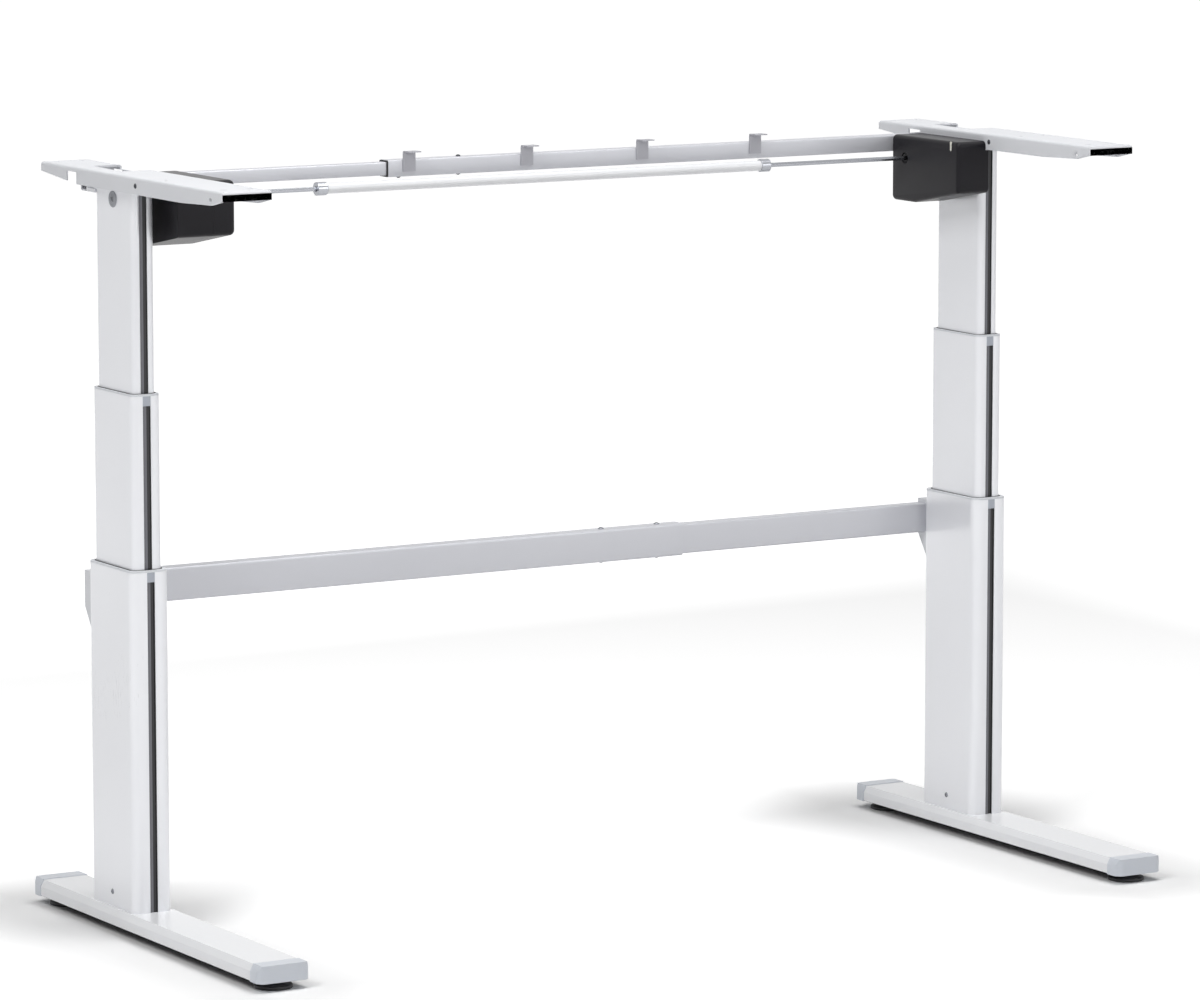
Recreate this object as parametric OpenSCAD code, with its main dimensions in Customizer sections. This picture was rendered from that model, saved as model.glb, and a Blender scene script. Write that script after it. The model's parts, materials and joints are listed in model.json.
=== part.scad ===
// Sit-stand desk frame: two three-stage lifting columns on flat feet, joined by a telescoping
// lower bar, a telescoping upper bar and one telescoping hex drive shaft.
// The origin lies on the floor in the middle of the footprint. +X runs from the left column
// to the right one, +Y to the rear, +Z up. All lengths are in millimetres.

/* [Overall] */
// Distance between the two column axes
span = 1600; // [1500:10:1700]
// Overall length of a foot with its end caps
foot_len = 800; // [700:10:900]
// Distance from the rear end of a foot to the column axis
foot_back = 275; // [230:5:320]

/* [Foot] */
// Width of the foot rail at its bottom
rail_w = 88; // [80:1:100]
// Height of the foot rail
rail_h = 26; // [22:1:32]
// Width of the bevel along the top edges of the rail
rail_bevel_w = 6; // [4:1:9]
// Height of the bevel along the top edges of the rail
rail_bevel_h = 11; // [6:1:14]
// Wall of the foot rail
rail_wall = 3; // [2:0.5:4]
// Length of an end cap beyond the rail
cap_len = 30; // [24:1:40]
// How far an end cap stands proud of the rail
cap_proud = 1; // [0.5:0.5:2]
// Radius of the end cap's corners, seen from above
cap_round = 13; // [8:1:18]
// Radius of a glide's disc
glide_r = 30; // [24:1:36]
// Height of a glide's disc
glide_h = 10; // [8:1:14]
// Height of the hexagon between the disc and the rail
glide_hex_h = 6; // [4:1:9]
// Radius of a glide's stud
stud_r = 5; // [4:0.5:6]
// Distance from the end of the foot to the glide's axis
glide_inset = 39; // [39:1:60]

/* [Column tubes] */
// Width of the outer tube
outer_w = 68; // [66:1:76]
// Depth of the outer tube
outer_d = 160; // [158:1:170]
// Corner radius of the outer tube
outer_r = 16; // [14:1:20]
// Wall of the outer tube
outer_wall = 3; // [2.5:0.5:3.5]
// Room for the slide pads beside the middle tube
mid_side_gap = 5; // [4:0.5:6]
// Room for the slide pads in front of and behind the middle tube
mid_end_gap = 5.5; // [4.5:0.5:6.5]
// Corner radius of the middle tube
mid_r = 12; // [10:1:14]
// Wall of the middle tube
mid_wall = 2.6; // [2:0.2:3]
// Room for the slide pads beside the inner tube
inner_side_gap = 3.4; // [2.6:0.2:4.2]
// Room for the slide pads in front of and behind the inner tube
inner_end_gap = 4.4; // [3.8:0.2:5.4]
// Corner radius of the inner tube
inner_r = 9; // [7:1:11]
// Wall of the inner tube
inner_wall = 2.2; // [1.8:0.2:2.6]
// Width of the groove down the front and the rear of each tube
groove_w = 13.5; // [11:0.5:16]
// Depth of the groove in the outer tube
outer_groove = 4; // [3:0.2:4.6]
// Depth of the groove in the middle tube
mid_groove = 3.4; // [2.4:0.2:3.8]
// Depth of the groove in the inner tube
inner_groove = 3.4; // [2.4:0.2:4.4]
// Thickness of the black strip in the grooves
strip_t = 1; // [0.6:0.2:1.4]

/* [Lift, as photographed] */
// Height of the outer tube's rim above the foot
outer_show = 550; // [500:5:600]
// Length of middle tube that shows
mid_show = 279; // [200:1:300]
// Length of inner tube that shows
inner_show = 321; // [300:1:340]
// Room left between the rims when the column is fully lowered
rim_gap = 24; // [16:1:40]
// Thickness of the collar on the rim of a tube
collar_t = 3; // [2:0.5:5]
// Length of the collar's guide inside the tube
guide_len = 40; // [30:1:60]
// Length of the collar's tab that fills the groove
tab_len = 16; // [12:1:24]

/* [Screws inside a column] */
// Radius of the fixed lower screw
low_screw_r = 5.5; // [5:0.5:6]
// Outer radius of the middle screw tube
mid_screw_r = 9; // [8.5:0.5:9.5]
// Outer radius of the upper screw tube
top_screw_r = 11.5; // [11:0.5:12]
// Thickness of the upper screw tube's closed end
screw_wall = 2.5; // [2:0.5:2.5]
// Height of the block in the bottom of the column
block_h = 32; // [26:1:40]

/* [Top bracket] */
// Width of the top bracket
bracket_w = 84; // [80:1:92]
// Reach of the top bracket in front of the column axis
bracket_front = 420; // [380:5:440]
// Reach of the top bracket behind the column axis
bracket_rear = 214; // [190:2:240]
// Sheet of the top bracket
bracket_t = 3; // [2:0.5:4]
// Height of the top bracket's flanges in the middle
bracket_h = 27; // [24:1:32]
// Height of the flanges at the front corner
nose_h = 23; // [20:1:25]
// Height of the flanges at the rear corner
tail_h = 15; // [12:1:20]
// Radius of the holes for the worktop's screws
top_hole_r = 3.3; // [2.5:0.1:4]
// Sideways distance between the worktop's screws
top_hole_w = 44; // [36:1:50]
// Length of the front slots
slot_len = 12; // [8:1:16]

/* [Drive] */
// Distance of the drive shaft behind the column axis
drive_back = 47; // [40:1:50]
// Height of the cross shaft below the top of the inner tube
cross_drop = 18; // [16:1:24]
// Height of the drive shaft below the cross shaft
drive_drop = 6; // [4:1:9]
// Width across the flats of the hex shaft
hex_af = 7; // [6:0.5:8]
// Outer radius of the shaft tube
shaft_tube_r = 9; // [8:0.5:10]
// Length of the shaft tube
shaft_tube_len = 849; // [700:1:860]
// Distance from the left column axis to the shaft tube
shaft_tube_gap = 372; // [300:1:380]
// Length of hex shaft inside the right end of the tube
shaft_overlap = 190; // [150:5:260]
// Teeth of the gear on the drive shaft
pinion_teeth = 21; // [20:1:23]
// Teeth of the gear on the cross shaft
gear_teeth = 25; // [22:1:26]

/* [Covers] */
// Distance from the column axis to the gear cover's outer face
cover_out = 98; // [88:1:106]
// Reach of the gear cover in front of the column axis
cover_front = 115; // [100:1:130]
// Reach of the gear cover behind the column axis
cover_rear = 88; // [84:1:89]
// Height of the gear cover at the rear
cover_h = 112; // [105:1:125]
// How much the bottom of the gear cover rises to the front
cover_rise = 24; // [14:1:34]
// Wall of the covers
cover_wall = 2.5; // [2:0.5:3]
// Length of the motor cover beside the gear cover
motor_cover_len = 40; // [38:1:60]

/* [Bars] */
// Height of the lower bar's sleeve
low_bar_h = 55; // [48:1:62]
// Depth of the lower bar's sleeve
low_bar_d = 30; // [26:1:34]
// Wall of the lower bar
low_bar_wall = 2; // [1.5:0.5:2.5]
// Distance from the left column axis to the end of the lower bar's sleeve
low_sleeve_end = 1082; // [980:2:1150]
// Length of lower bar inside its sleeve
low_overlap = 360; // [200:10:380]
// Height of the underside of the lower bar above the foot
low_bar_z = 469; // [430:1:480]
// Height of the upper bar's outer tube
up_bar_h = 28; // [24:1:30]
// Wall of the upper bar
up_bar_wall = 2.6; // [2:0.2:3]
// Distance from the left column axis to the upper bar's outer tube
up_tube_gap = 523; // [480:1:560]
// Length of upper bar inside its outer tube
up_overlap = 360; // [200:10:380]
// Width of a worktop clip
clip_w = 23; // [18:1:28]
// Distance between neighbouring worktop clips
clip_pitch = 222; // [190:1:230]
// Number of worktop clips
clip_count = 4; // [2:1:4]

/* [Hidden] */
$fn = 64;
over = 1;
pi = 3.14159265;

// Running gap between tubes and their guides, gap of a shaft in its bore, gap of a free end
slide_gap = 0.4;
turn_gap = 0.12;
stop_gap = 6;
end_gap = 39;

// Heights
rail_z = glide_h + glide_hex_h;
foot_top = rail_z + rail_h;
outer_rim = foot_top + outer_show;
outer_top = outer_rim - collar_t;
mid_rim = outer_rim + mid_show;
mid_top = mid_rim - collar_t;
lift_down = mid_show - rim_gap;
mid_z = foot_top + block_h + stop_gap + lift_down;
mid_plate_t = 10;
inner_z = mid_z + mid_plate_t + stop_gap + lift_down;
inner_top = mid_rim + inner_show;
col_y = foot_len / 2 - foot_back;

// Middle and inner tube, from the next larger tube and the room for the slide pads
mid_w = outer_w - 2 * outer_wall - 2 * mid_side_gap;
mid_d = outer_d - 2 * outer_wall - 2 * mid_end_gap;
inner_w = mid_w - 2 * mid_wall - 2 * inner_side_gap;
inner_d = mid_d - 2 * mid_wall - 2 * inner_end_gap;

// Insides of the tubes
outer_in_w = outer_w - 2 * outer_wall;
outer_in_d = outer_d - 2 * outer_wall;
mid_in_w = mid_w - 2 * mid_wall;
mid_in_d = mid_d - 2 * mid_wall;
inner_in_w = inner_w - 2 * inner_wall;

// Head of the column: plate, upright cheeks in front inside the bracket, and the bracket over them
head_t = 6;
head_front = 150;
cheek_rear = 30;
cheek_t = 3;
cheek_gap = 0.5;
head_rise = 26.6;
plate_z = inner_top;
bracket_top = plate_z + head_rise;
bracket_z = bracket_top - bracket_h;
lug_drop = 13;
lug_t = 6;
cheek_w = bracket_w - 2 * bracket_t - 2 * cheek_gap;

// Cross bolts through the bracket's flanges and the head's cheeks
bolt_r = 3;
bolt_head_r = 4.2;
bolt_head_t = 1.8;
bolt_front = 124;
bolt_drop = 13.5;

// Upper bar
up_bar_y = 90;
up_bar_drop = 42.6;
up_bar_z = bracket_top - up_bar_drop;
up_bar_mid_y = up_bar_y + up_bar_h / 2;
up_bar_mid_z = up_bar_z + up_bar_h / 2;
up_rod_h = up_bar_h - 2 * up_bar_wall - 2 * slide_gap;
up_end_in = 20;
bar_bolt_in = 8;
bar_bolt_x = inner_w / 2 - bar_bolt_in;
up_tube_x = -span / 2 + up_tube_gap;

// Shaft, gears and screws
cross_z = inner_top - cross_drop;
drive_z = cross_z - drive_drop;
drive_y = col_y + drive_back;
hex_r = hex_af / 2 / cos(30);
gear_apart = sqrt(drive_back * drive_back + drive_drop * drive_drop);
mesh_turn = atan2(-drive_drop, drive_back);
gear_module = 2 * gear_apart / (pinion_teeth + gear_teeth);
gear_t = 12;
gear_room = 22;
gear_x = cover_out - cover_wall - gear_room;
hub_r = 9.6;
hub_recess = 1;
cross_r = 4;
bevel_r = 10;
bevel_gap = 0.4;
thrust_drop = 24;
thrust_z = cross_z - thrust_drop;
thrust_t = 6;
screw_gap = 0.5;
screw_hub_step = 4;
mid_bore_r = low_screw_r + screw_gap;
top_bore_r = mid_screw_r + screw_gap;
screw_hollow_top = thrust_z;
mid_screw_top = screw_hollow_top - lift_down - end_gap;
low_screw_top = mid_screw_top - lift_down - end_gap;

// Gear cover
cover_drop = 12.6;
cover_top = bracket_top - cover_drop;
cover_z = cover_top - cover_h;
cover_gap = 2;
cover_in = outer_w / 2 + cover_gap;
cover_step_gap = 1.5;
cover_r = 9;
motor_len = 34;
motor_gap = 4;
rise_start = 22;

// Lower bar and its hanger
hang_t = 3;
hang_w = 46;
hang_h = 98;
hang_lip = 4;
low_z = foot_top + low_bar_z;
low_y = col_y + outer_d / 2 + hang_t;
low_in_h = low_bar_h - 2 * low_bar_wall - 2 * slide_gap;
low_in_d = low_bar_d - 2 * low_bar_wall - 2 * slide_gap;
low_sleeve_x = -span / 2 + low_sleeve_end;

// Puts a piece of a leg at its column. Its own +X points to the other leg.
module leg(s) {
    translate([s * span / 2, col_y, 0])
        if (s > 0) {
            mirror([1, 0, 0]) children();
        } else {
            children();
        }
}

// A rectangle with true round corners
module round_rect(w, d, r) {
    square([w - 2 * r, d], center = true);
    square([w, d - 2 * r], center = true);
    for (i = [-1, 1], j = [-1, 1]) {
        translate([i * (w / 2 - r), j * (d / 2 - r)]) circle(r);
    }
}

// Section of a column tube, with its wall led round the two grooves
module tube_section(w, d, r, t, g) {
    difference() {
        union() {
            difference() {
                round_rect(w, d, r);
                round_rect(w - 2 * t, d - 2 * t, r - t);
            }
            for (j = [-1, 1]) {
                translate([0, j * (d - g - t) / 2]) square([groove_w + 2 * t, g + t], center = true);
            }
        }
        groove_cuts(d, g);
    }
}

module groove_cuts(d, g) {
    for (j = [-1, 1]) {
        translate([0, j * (d - g + over) / 2]) square([groove_w, g + over], center = true);
    }
}

// The black strips in a tube's two grooves: a flat web with two low edges
strip_share = 2 / 3;

module strips(d, g, z0, z1) {
    for (j = [-1, 1]) {
        translate([0, 0, z0]) linear_extrude(z1 - z0) difference() {
            translate([0, j * (d / 2 - g + g * strip_share / 2)]) square([groove_w, g * strip_share], center = true);
            translate([0, j * (d / 2 - g + strip_t + g / 2)])
                square([groove_w - 2 * strip_t, g], center = true);
        }
    }
}

// Collar on a tube's rim, with a guide inside the tube and two tabs in the grooves
module collar(w, d, r, t, g, sw, sd, sr, rim) {
    hole_w = sw + 2 * slide_gap;
    hole_d = sd + 2 * slide_gap;
    translate([0, 0, rim - collar_t]) linear_extrude(collar_t) difference() {
        round_rect(w, d, r);
        round_rect(hole_w, hole_d, sr + slide_gap);
    }
    translate([0, 0, rim - collar_t - guide_len]) linear_extrude(guide_len) difference() {
        round_rect(w - 2 * t, d - 2 * t, r - t);
        round_rect(hole_w, hole_d, sr + slide_gap);
        for (j = [-1, 1]) {
            translate([0, j * (d - g - t) / 2]) square([groove_w + 2 * t, g + t], center = true);
        }
    }
    for (j = [-1, 1]) {
        translate([0, j * (d - g) / 2, rim - collar_t - tab_len / 2])
            cube([groove_w, g, tab_len], center = true);
    }
}

// Slide pads round the foot of a tube, inside the next larger tube
module pads(w, d, r, bore_w, bore_d, bore_r, g, t, z0) {
    translate([0, 0, z0]) linear_extrude(guide_len) difference() {
        round_rect(bore_w - 2 * slide_gap, bore_d - 2 * slide_gap, bore_r - slide_gap);
        round_rect(w, d, r);
        square([groove_w + 2 * t + 2 * slide_gap, bore_d], center = true);
    }
}

// Section of the foot rail: upright sides, bevelled top edges
module rail_section(w, h, bevel_w, bevel_h) {
    polygon([
        [-w / 2, 0],
        [w / 2, 0],
        [w / 2, h - bevel_h],
        [w / 2 - bevel_w, h],
        [-w / 2 + bevel_w, h],
        [-w / 2, h - bevel_h]
    ]);
}

// Turns a section so that it runs along Y from y0 to y1
module along_y(y0, y1) {
    translate([0, y1, 0]) rotate([90, 0, 0]) linear_extrude(y1 - y0) children();
}

rail_rear = foot_back - cap_len;
rail_front = foot_len - foot_back - cap_len;
glide_rear_y = foot_back - glide_inset;
glide_front_y = -(foot_len - foot_back - glide_inset);
boss_wall = 3;
boss_r = stud_r + boss_wall;
boss_h = 14;
access_r = 8;
bevel_in_share = 0.8;
tongue_share = 1.5;
foot_bolt_y = 50;
foot_bolt_r = 4;

module foot_rail(s) {
    color("whitesmoke") leg(s) difference() {
        union() {
            difference() {
                translate([0, 0, rail_z]) along_y(-rail_front, rail_rear)
                    rail_section(rail_w, rail_h, rail_bevel_w, rail_bevel_h);
                translate([0, 0, rail_z + rail_wall]) along_y(-rail_front - over, rail_rear + over)
                    rail_section(rail_w - 2 * rail_wall, rail_h - 2 * rail_wall,
                        rail_bevel_w * bevel_in_share, rail_bevel_h * bevel_in_share);
            }
            for (y = [glide_rear_y, glide_front_y]) {
                translate([0, y, rail_z + rail_wall / 2]) cylinder(r = boss_r, h = boss_h);
            }
        }
        for (y = [glide_rear_y, glide_front_y]) {
            translate([0, y, rail_z - over]) cylinder(r = stud_r + turn_gap, h = boss_h + 2 * over + rail_wall);
        }
        for (j = [-1, 1]) {
            translate([0, j * foot_bolt_y, rail_z - over]) cylinder(r = access_r, h = rail_wall + 2 * over);
            translate([0, j * foot_bolt_y, rail_z]) cylinder(r = foot_bolt_r, h = rail_h + over);
        }
    }
}

// One end cap, drawn for the front end: bevelled like the rail, round-cornered from above,
// with two tongues inside the rail
module foot_cap(y0) {
    w = rail_w + 2 * cap_proud;
    h = rail_h + 2 * cap_proud;
    tongue_len = 18;
    tongue_h = rail_h - rail_bevel_h - rail_wall * tongue_share;
    intersection() {
        translate([0, 0, rail_z - cap_proud]) along_y(y0 - cap_len, y0)
            rail_section(w, h, rail_bevel_w, rail_bevel_h);
        translate([0, y0 - cap_len, 0]) linear_extrude(foot_top + 2 * over) union() {
            translate([-w / 2, cap_round]) square([w, cap_len - cap_round + over]);
            translate([-w / 2 + cap_round, 0]) square([w - 2 * cap_round, cap_len]);
            for (i = [-1, 1]) {
                translate([i * (w / 2 - cap_round), cap_round]) circle(cap_round);
            }
        }
    }
    for (i = [-1, 1]) {
        translate([i * (rail_w / 2 - rail_wall * tongue_share), y0 + tongue_len / 2,
            rail_z + rail_wall + tongue_h / 2])
            cube([rail_wall, tongue_len, tongue_h], center = true);
    }
}

module foot_caps(s) {
    color("lightsteelblue") leg(s) {
        foot_cap(-rail_front);
        mirror([0, 1, 0]) foot_cap(-rail_rear);
    }
}

// A glide: disc with a waist, a hexagon for the spanner and a stud in the rail's boss
module glide(s, y) {
    rim = 1.5;
    edge_share = 0.45;
    waist_share = 0.6;
    neck_share = 0.62;
    color("dimgray") leg(s) translate([0, y, 0]) {
        rotate_extrude() polygon([
            [0, 0],
            [glide_r - rim, 0],
            [glide_r, rim],
            [glide_r, glide_h * edge_share],
            [glide_r - rim, glide_h * waist_share],
            [glide_r * neck_share, glide_h],
            [0, glide_h]
        ]);
        translate([0, 0, glide_h]) cylinder(r = boss_r, h = glide_hex_h, $fn = 6);
        translate([0, 0, rail_z]) cylinder(r = stud_r, h = boss_h + rail_wall);
    }
}

hang_z = low_z + low_bar_h - hang_h;
hang_bolt_r = 3;
hang_bolt_x = hang_w / 4;
hang_bolt_shares = [0.2, 0.8];
hang_head_r = 5.2;
side_screw_share = 0.75;
side_screw_z = foot_top + block_h * side_screw_share;
block_bolt_share = 0.7;
side_screw_r = 3;
side_screw_len = outer_w / 2 - low_screw_r * 2;

module outer_tube(s) {
    color("white") leg(s) difference() {
        translate([0, 0, foot_top]) linear_extrude(outer_top - foot_top)
            tube_section(outer_w, outer_d, outer_r, outer_wall, outer_groove);
        translate([0, 0, side_screw_z]) rotate([0, 90, 0])
            cylinder(r = side_screw_r + turn_gap, h = outer_w + 2 * over, center = true);
        hanger_bolt_places() translate([0, -outer_wall * 2, 0]) rotate([-90, 0, 0])
            cylinder(r = hang_bolt_r + turn_gap, h = outer_wall * 2 + over);
    }
}

// Places of the bolts that hold the hanger on the rear face of the outer tube
module hanger_bolt_places() {
    for (i = [-1, 1], k = hang_bolt_shares) {
        translate([i * hang_bolt_x, outer_d / 2, hang_z + hang_h * k]) children();
    }
}

module outer_collar(s) {
    color("silver") leg(s)
        collar(outer_w, outer_d, outer_r, outer_wall, outer_groove, mid_w, mid_d, mid_r, outer_rim);
}

module outer_strips(s) {
    color("black") leg(s) strips(outer_d, outer_groove, foot_top, outer_top - tab_len);
}

// Block bolted to the foot inside the outer tube, with the fixed lower screw on it
module lower_screw(s) {
    groove_in = outer_groove + outer_wall;
    color("dimgray") leg(s) {
        difference() {
            translate([0, 0, foot_top]) linear_extrude(block_h) difference() {
                round_rect(outer_in_w, outer_in_d, outer_r - outer_wall);
                for (j = [-1, 1]) {
                    translate([0, j * (outer_d - groove_in) / 2])
                        square([groove_w + 2 * outer_wall, groove_in], center = true);
                }
            }
            for (j = [-1, 1]) {
                translate([0, j * foot_bolt_y, foot_top - over])
                    cylinder(r = foot_bolt_r, h = block_h * block_bolt_share + over);
            }
            for (i = [-1, 1]) {
                translate([i * outer_w / 2, 0, side_screw_z]) rotate([0, -i * 90, 0])
                    cylinder(r = side_screw_r, h = side_screw_len);
            }
        }
        translate([0, 0, foot_top + block_h - over])
            cylinder(r = low_screw_r, h = low_screw_top - foot_top - block_h + over);
    }
}

// Domed screw, drawn with its head's underside on z = 0 and its shank downwards
dome_rim_share = 0.4;
dome_top_share = 0.72;
dome_socket_share = 0.42;

module dome_screw(r, head_r, head_t, len) {
    translate([0, 0, -len]) cylinder(r = r, h = len);
    difference() {
        rotate_extrude() polygon([
            [0, 0],
            [head_r, 0],
            [head_r, head_t * dome_rim_share],
            [head_r * dome_top_share, head_t],
            [0, head_t]
        ]);
        translate([0, 0, head_t * dome_rim_share]) cylinder(r = head_r * dome_socket_share, h = head_t, $fn = 6);
    }
}

low_clamp_far = 152;
low_clamp_near = 43;
low_clamp_xs = [low_sleeve_x - low_clamp_far, low_sleeve_x - low_clamp_near];
clamp_r = 3;
clamp_head_r = 5;
clamp_head_t = 3;

module base_fasteners(s) {
    foot_head_t = 6;
    foot_head_r = 7;
    color("silver") {
        leg(s) {
            for (j = [-1, 1]) {
                translate([0, j * foot_bolt_y, foot_top - rail_wall - foot_head_t])
                    cylinder(r = foot_head_r, h = foot_head_t);
                translate([0, j * foot_bolt_y, foot_top - rail_wall - over])
                    cylinder(r = foot_bolt_r, h = rail_wall + block_h * block_bolt_share + over);
            }
            for (i = [-1, 1]) {
                translate([i * outer_w / 2, 0, side_screw_z]) rotate([0, i * 90, 0])
                    dome_screw(side_screw_r, bolt_head_r, bolt_head_t, side_screw_len);
            }
            hanger_bolt_places() translate([0, hang_t, 0]) rotate([-90, 0, 0])
                dome_screw(hang_bolt_r, hang_head_r, bolt_head_t, hang_t + outer_wall);
        }
        if (s < 0) {
            for (x = low_clamp_xs) {
                translate([x, low_y + low_bar_d / 2, low_z + low_bar_h])
                    dome_screw(clamp_r, clamp_head_r, clamp_head_t, low_bar_wall);
                translate([x, low_y + low_bar_d / 2, low_z]) rotate([180, 0, 0])
                    dome_screw(clamp_r, clamp_head_r, clamp_head_t, low_bar_wall);
            }
        }
    }
}

// Folded hanger behind the outer tube: back plate, two tapered cheeks and a top lip
module hanger(s) {
    depth_gap = 1;
    taper_share = 0.44;
    depth = low_bar_d - depth_gap;
    taper = hang_h * taper_share;
    color("gainsboro") leg(s) translate([0, outer_d / 2, hang_z]) difference() {
        union() {
            translate([-hang_w / 2, 0, 0]) cube([hang_w, hang_t, hang_h]);
            for (i = [-1, 1]) {
                translate([i * (hang_w - hang_t) / 2, 0, 0]) rotate([90, 0, 90])
                    linear_extrude(hang_t, center = true) polygon([
                        [0, 0],
                        [hang_t, 0],
                        [hang_t + depth, taper],
                        [hang_t + depth, hang_h + hang_lip],
                        [0, hang_h + hang_lip],
                    ]);
            }
            translate([-hang_w / 2, 0, hang_h + hang_lip - hang_t]) cube([hang_w, hang_t + depth, hang_t]);
        }
        for (i = [-1, 1], k = hang_bolt_shares) {
            translate([i * hang_bolt_x, -over, hang_h * k]) rotate([-90, 0, 0])
                cylinder(r = hang_bolt_r + turn_gap, h = hang_t + 2 * over);
        }
    }
}

low_x0 = -span / 2 + hang_w / 2;
low_x1 = span / 2 - hang_w / 2;
low_slide_x = low_sleeve_x - low_overlap;

module lower_bar_sleeve() {
    color("darkgray") difference() {
        translate([low_x0, low_y, low_z]) cube([low_sleeve_x - low_x0, low_bar_d, low_bar_h]);
        translate([low_x0 + low_bar_wall, low_y + low_bar_wall, low_z + low_bar_wall])
            cube([low_sleeve_x - low_x0, low_bar_d - 2 * low_bar_wall, low_bar_h - 2 * low_bar_wall]);
        for (x = low_clamp_xs, z = [low_z, low_z + low_bar_h]) {
            translate([x, low_y + low_bar_d / 2, z])
                cylinder(r = clamp_r, h = 2 * low_bar_wall + over, center = true);
        }
    }
}

module lower_bar_slide() {
    y0 = low_y + low_bar_wall + slide_gap;
    z0 = low_z + low_bar_wall + slide_gap;
    color("gray") difference() {
        translate([low_slide_x, y0, z0]) cube([low_x1 - low_slide_x, low_in_d, low_in_h]);
        translate([low_slide_x - over, y0 + low_bar_wall, z0 + low_bar_wall])
            cube([low_x1 - low_slide_x + over - low_bar_wall,
                low_in_d - 2 * low_bar_wall, low_in_h - 2 * low_bar_wall]);
    }
}

// Middle tube, with the plate in its foot that carries the middle screw tube
module mid_tube(s) {
    color("white") leg(s) {
        translate([0, 0, mid_z]) linear_extrude(mid_top - mid_z)
            tube_section(mid_w, mid_d, mid_r, mid_wall, mid_groove);
        translate([0, 0, mid_z]) linear_extrude(mid_plate_t) difference() {
            square([mid_w - mid_wall, mid_d - 2 * mid_r], center = true);
            circle(low_screw_r + screw_gap);
        }
    }
}

module mid_collar(s) {
    color("silver") leg(s)
        collar(mid_w, mid_d, mid_r, mid_wall, mid_groove, inner_w, inner_d, inner_r, mid_rim);
}

module mid_strips(s) {
    color("black") leg(s) strips(mid_d, mid_groove, mid_z, mid_top - tab_len);
}

module mid_pads(s) {
    color("ivory") leg(s) pads(mid_w, mid_d, mid_r, outer_in_w, outer_in_d, outer_r - outer_wall,
        outer_groove, outer_wall, mid_z);
}

// Hollow screw between the lower screw and the upper screw tube, with a foot on the plate
module screw_tube(s) {
    foot_edge = 4;
    foot_r = mid_screw_r + foot_edge;
    foot_t = 4;
    z0 = mid_z + mid_plate_t;
    color("dimgray") leg(s) difference() {
        union() {
            translate([0, 0, z0]) cylinder(r = mid_screw_r, h = mid_screw_top - z0);
            translate([0, 0, z0]) cylinder(r = foot_r, h = foot_t);
        }
        translate([0, 0, z0 - over]) cylinder(r = mid_bore_r, h = mid_screw_top - z0 + 2 * over);
    }
}

// Upper screw tube, hung on the thrust plate and driven by a bevel at its top
module top_screw(s) {
    foot_gap = 2;
    flange_t = 3;
    flange_gap = 1.5;
    flange_r = inner_in_w / 2 - flange_gap;
    bevel_h = bevel_r / 2;
    bevel_z = cross_z - bevel_r;
    screw_z = inner_z + foot_gap;
    hub_z = thrust_z + thrust_t + turn_gap;
    color("dimgray") leg(s) {
        difference() {
            translate([0, 0, screw_z]) cylinder(r = top_screw_r, h = screw_hollow_top - screw_z);
            translate([0, 0, screw_z - over])
                cylinder(r = top_bore_r, h = screw_hollow_top - screw_z - screw_wall + over);
        }
        translate([0, 0, screw_hollow_top - screw_wall / 2])
            cylinder(r = top_screw_r - screw_hub_step, h = hub_z - screw_hollow_top + screw_wall);
        translate([0, 0, hub_z]) cylinder(r = flange_r, h = flange_t);
        translate([0, 0, hub_z]) cylinder(r = bevel_r - bevel_gap, h = bevel_z - hub_z);
        translate([0, 0, bevel_z])
            cylinder(r1 = bevel_r - bevel_gap, r2 = bevel_r - bevel_h - bevel_gap, h = bevel_h);
    }
}

// Inner tube with the head plate on it. The plate is folded up along both sides, a lug with
// an upturned end behind the tube takes the upper bar's bolts, and a thrust plate inside
// carries the upper screw.
module inner_tube(s, bar_gap) {
    rear = up_bar_y + bar_gap;
    cheek_top = bracket_top - bracket_t - cheek_gap;
    hole_z = bracket_top - bolt_drop;
    color("white") leg(s) difference() {
        union() {
            translate([0, 0, inner_z]) linear_extrude(inner_top - inner_z)
                tube_section(inner_w, inner_d, inner_r, inner_wall, inner_groove);
            translate([0, 0, thrust_z]) linear_extrude(thrust_t) difference() {
                square([inner_w - inner_wall, inner_d - 2 * inner_r], center = true);
                circle(top_screw_r - screw_hub_step + turn_gap);
            }
            translate([-cheek_w / 2, -head_front, plate_z])
                cube([cheek_w, head_front + inner_d / 2, head_t]);
            for (i = [-1, 1]) {
                translate([i * (cheek_w - cheek_t) / 2 - cheek_t / 2, -head_front, plate_z])
                    cube([cheek_t, head_front - cheek_rear, cheek_top - plate_z]);
            }
            translate([-inner_w / 2, inner_d / 2, plate_z - lug_drop])
                cube([inner_w, rear - inner_d / 2, lug_t]);
            translate([-inner_w / 2, rear - cheek_t, plate_z - lug_drop])
                cube([inner_w, cheek_t, up_bar_z + up_bar_h - plate_z + lug_drop]);
        }
        translate([0, 0, cross_z]) rotate([0, 90, 0]) cylinder(r = cross_r + turn_gap, h = inner_w);
        translate([-inner_w / 2 - over, 0, cross_z]) rotate([0, 90, 0])
            cylinder(r = bush_r, h = inner_w / 2);
        for (i = [-1, 1]) {
            translate([i * bar_bolt_x, rear, up_bar_mid_z]) rotate([90, 0, 0])
                cylinder(r = clamp_r + turn_gap, h = 4 * cheek_t, center = true);
        }
        for (i = [-1, 1]) {
            translate([i * cheek_w / 2, -bolt_front, hole_z]) rotate([0, 90, 0])
                cylinder(r = bolt_r + turn_gap, h = 4 * cheek_t, center = true);
        }
    }
}

module inner_strips(s) {
    color("black") leg(s) strips(inner_d, inner_groove, inner_z, inner_top);
}

module inner_pads(s) {
    color("ivory") leg(s) pads(inner_w, inner_d, inner_r, mid_in_w, mid_in_d, mid_r - mid_wall,
        mid_groove, mid_wall, inner_z);
}

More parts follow.
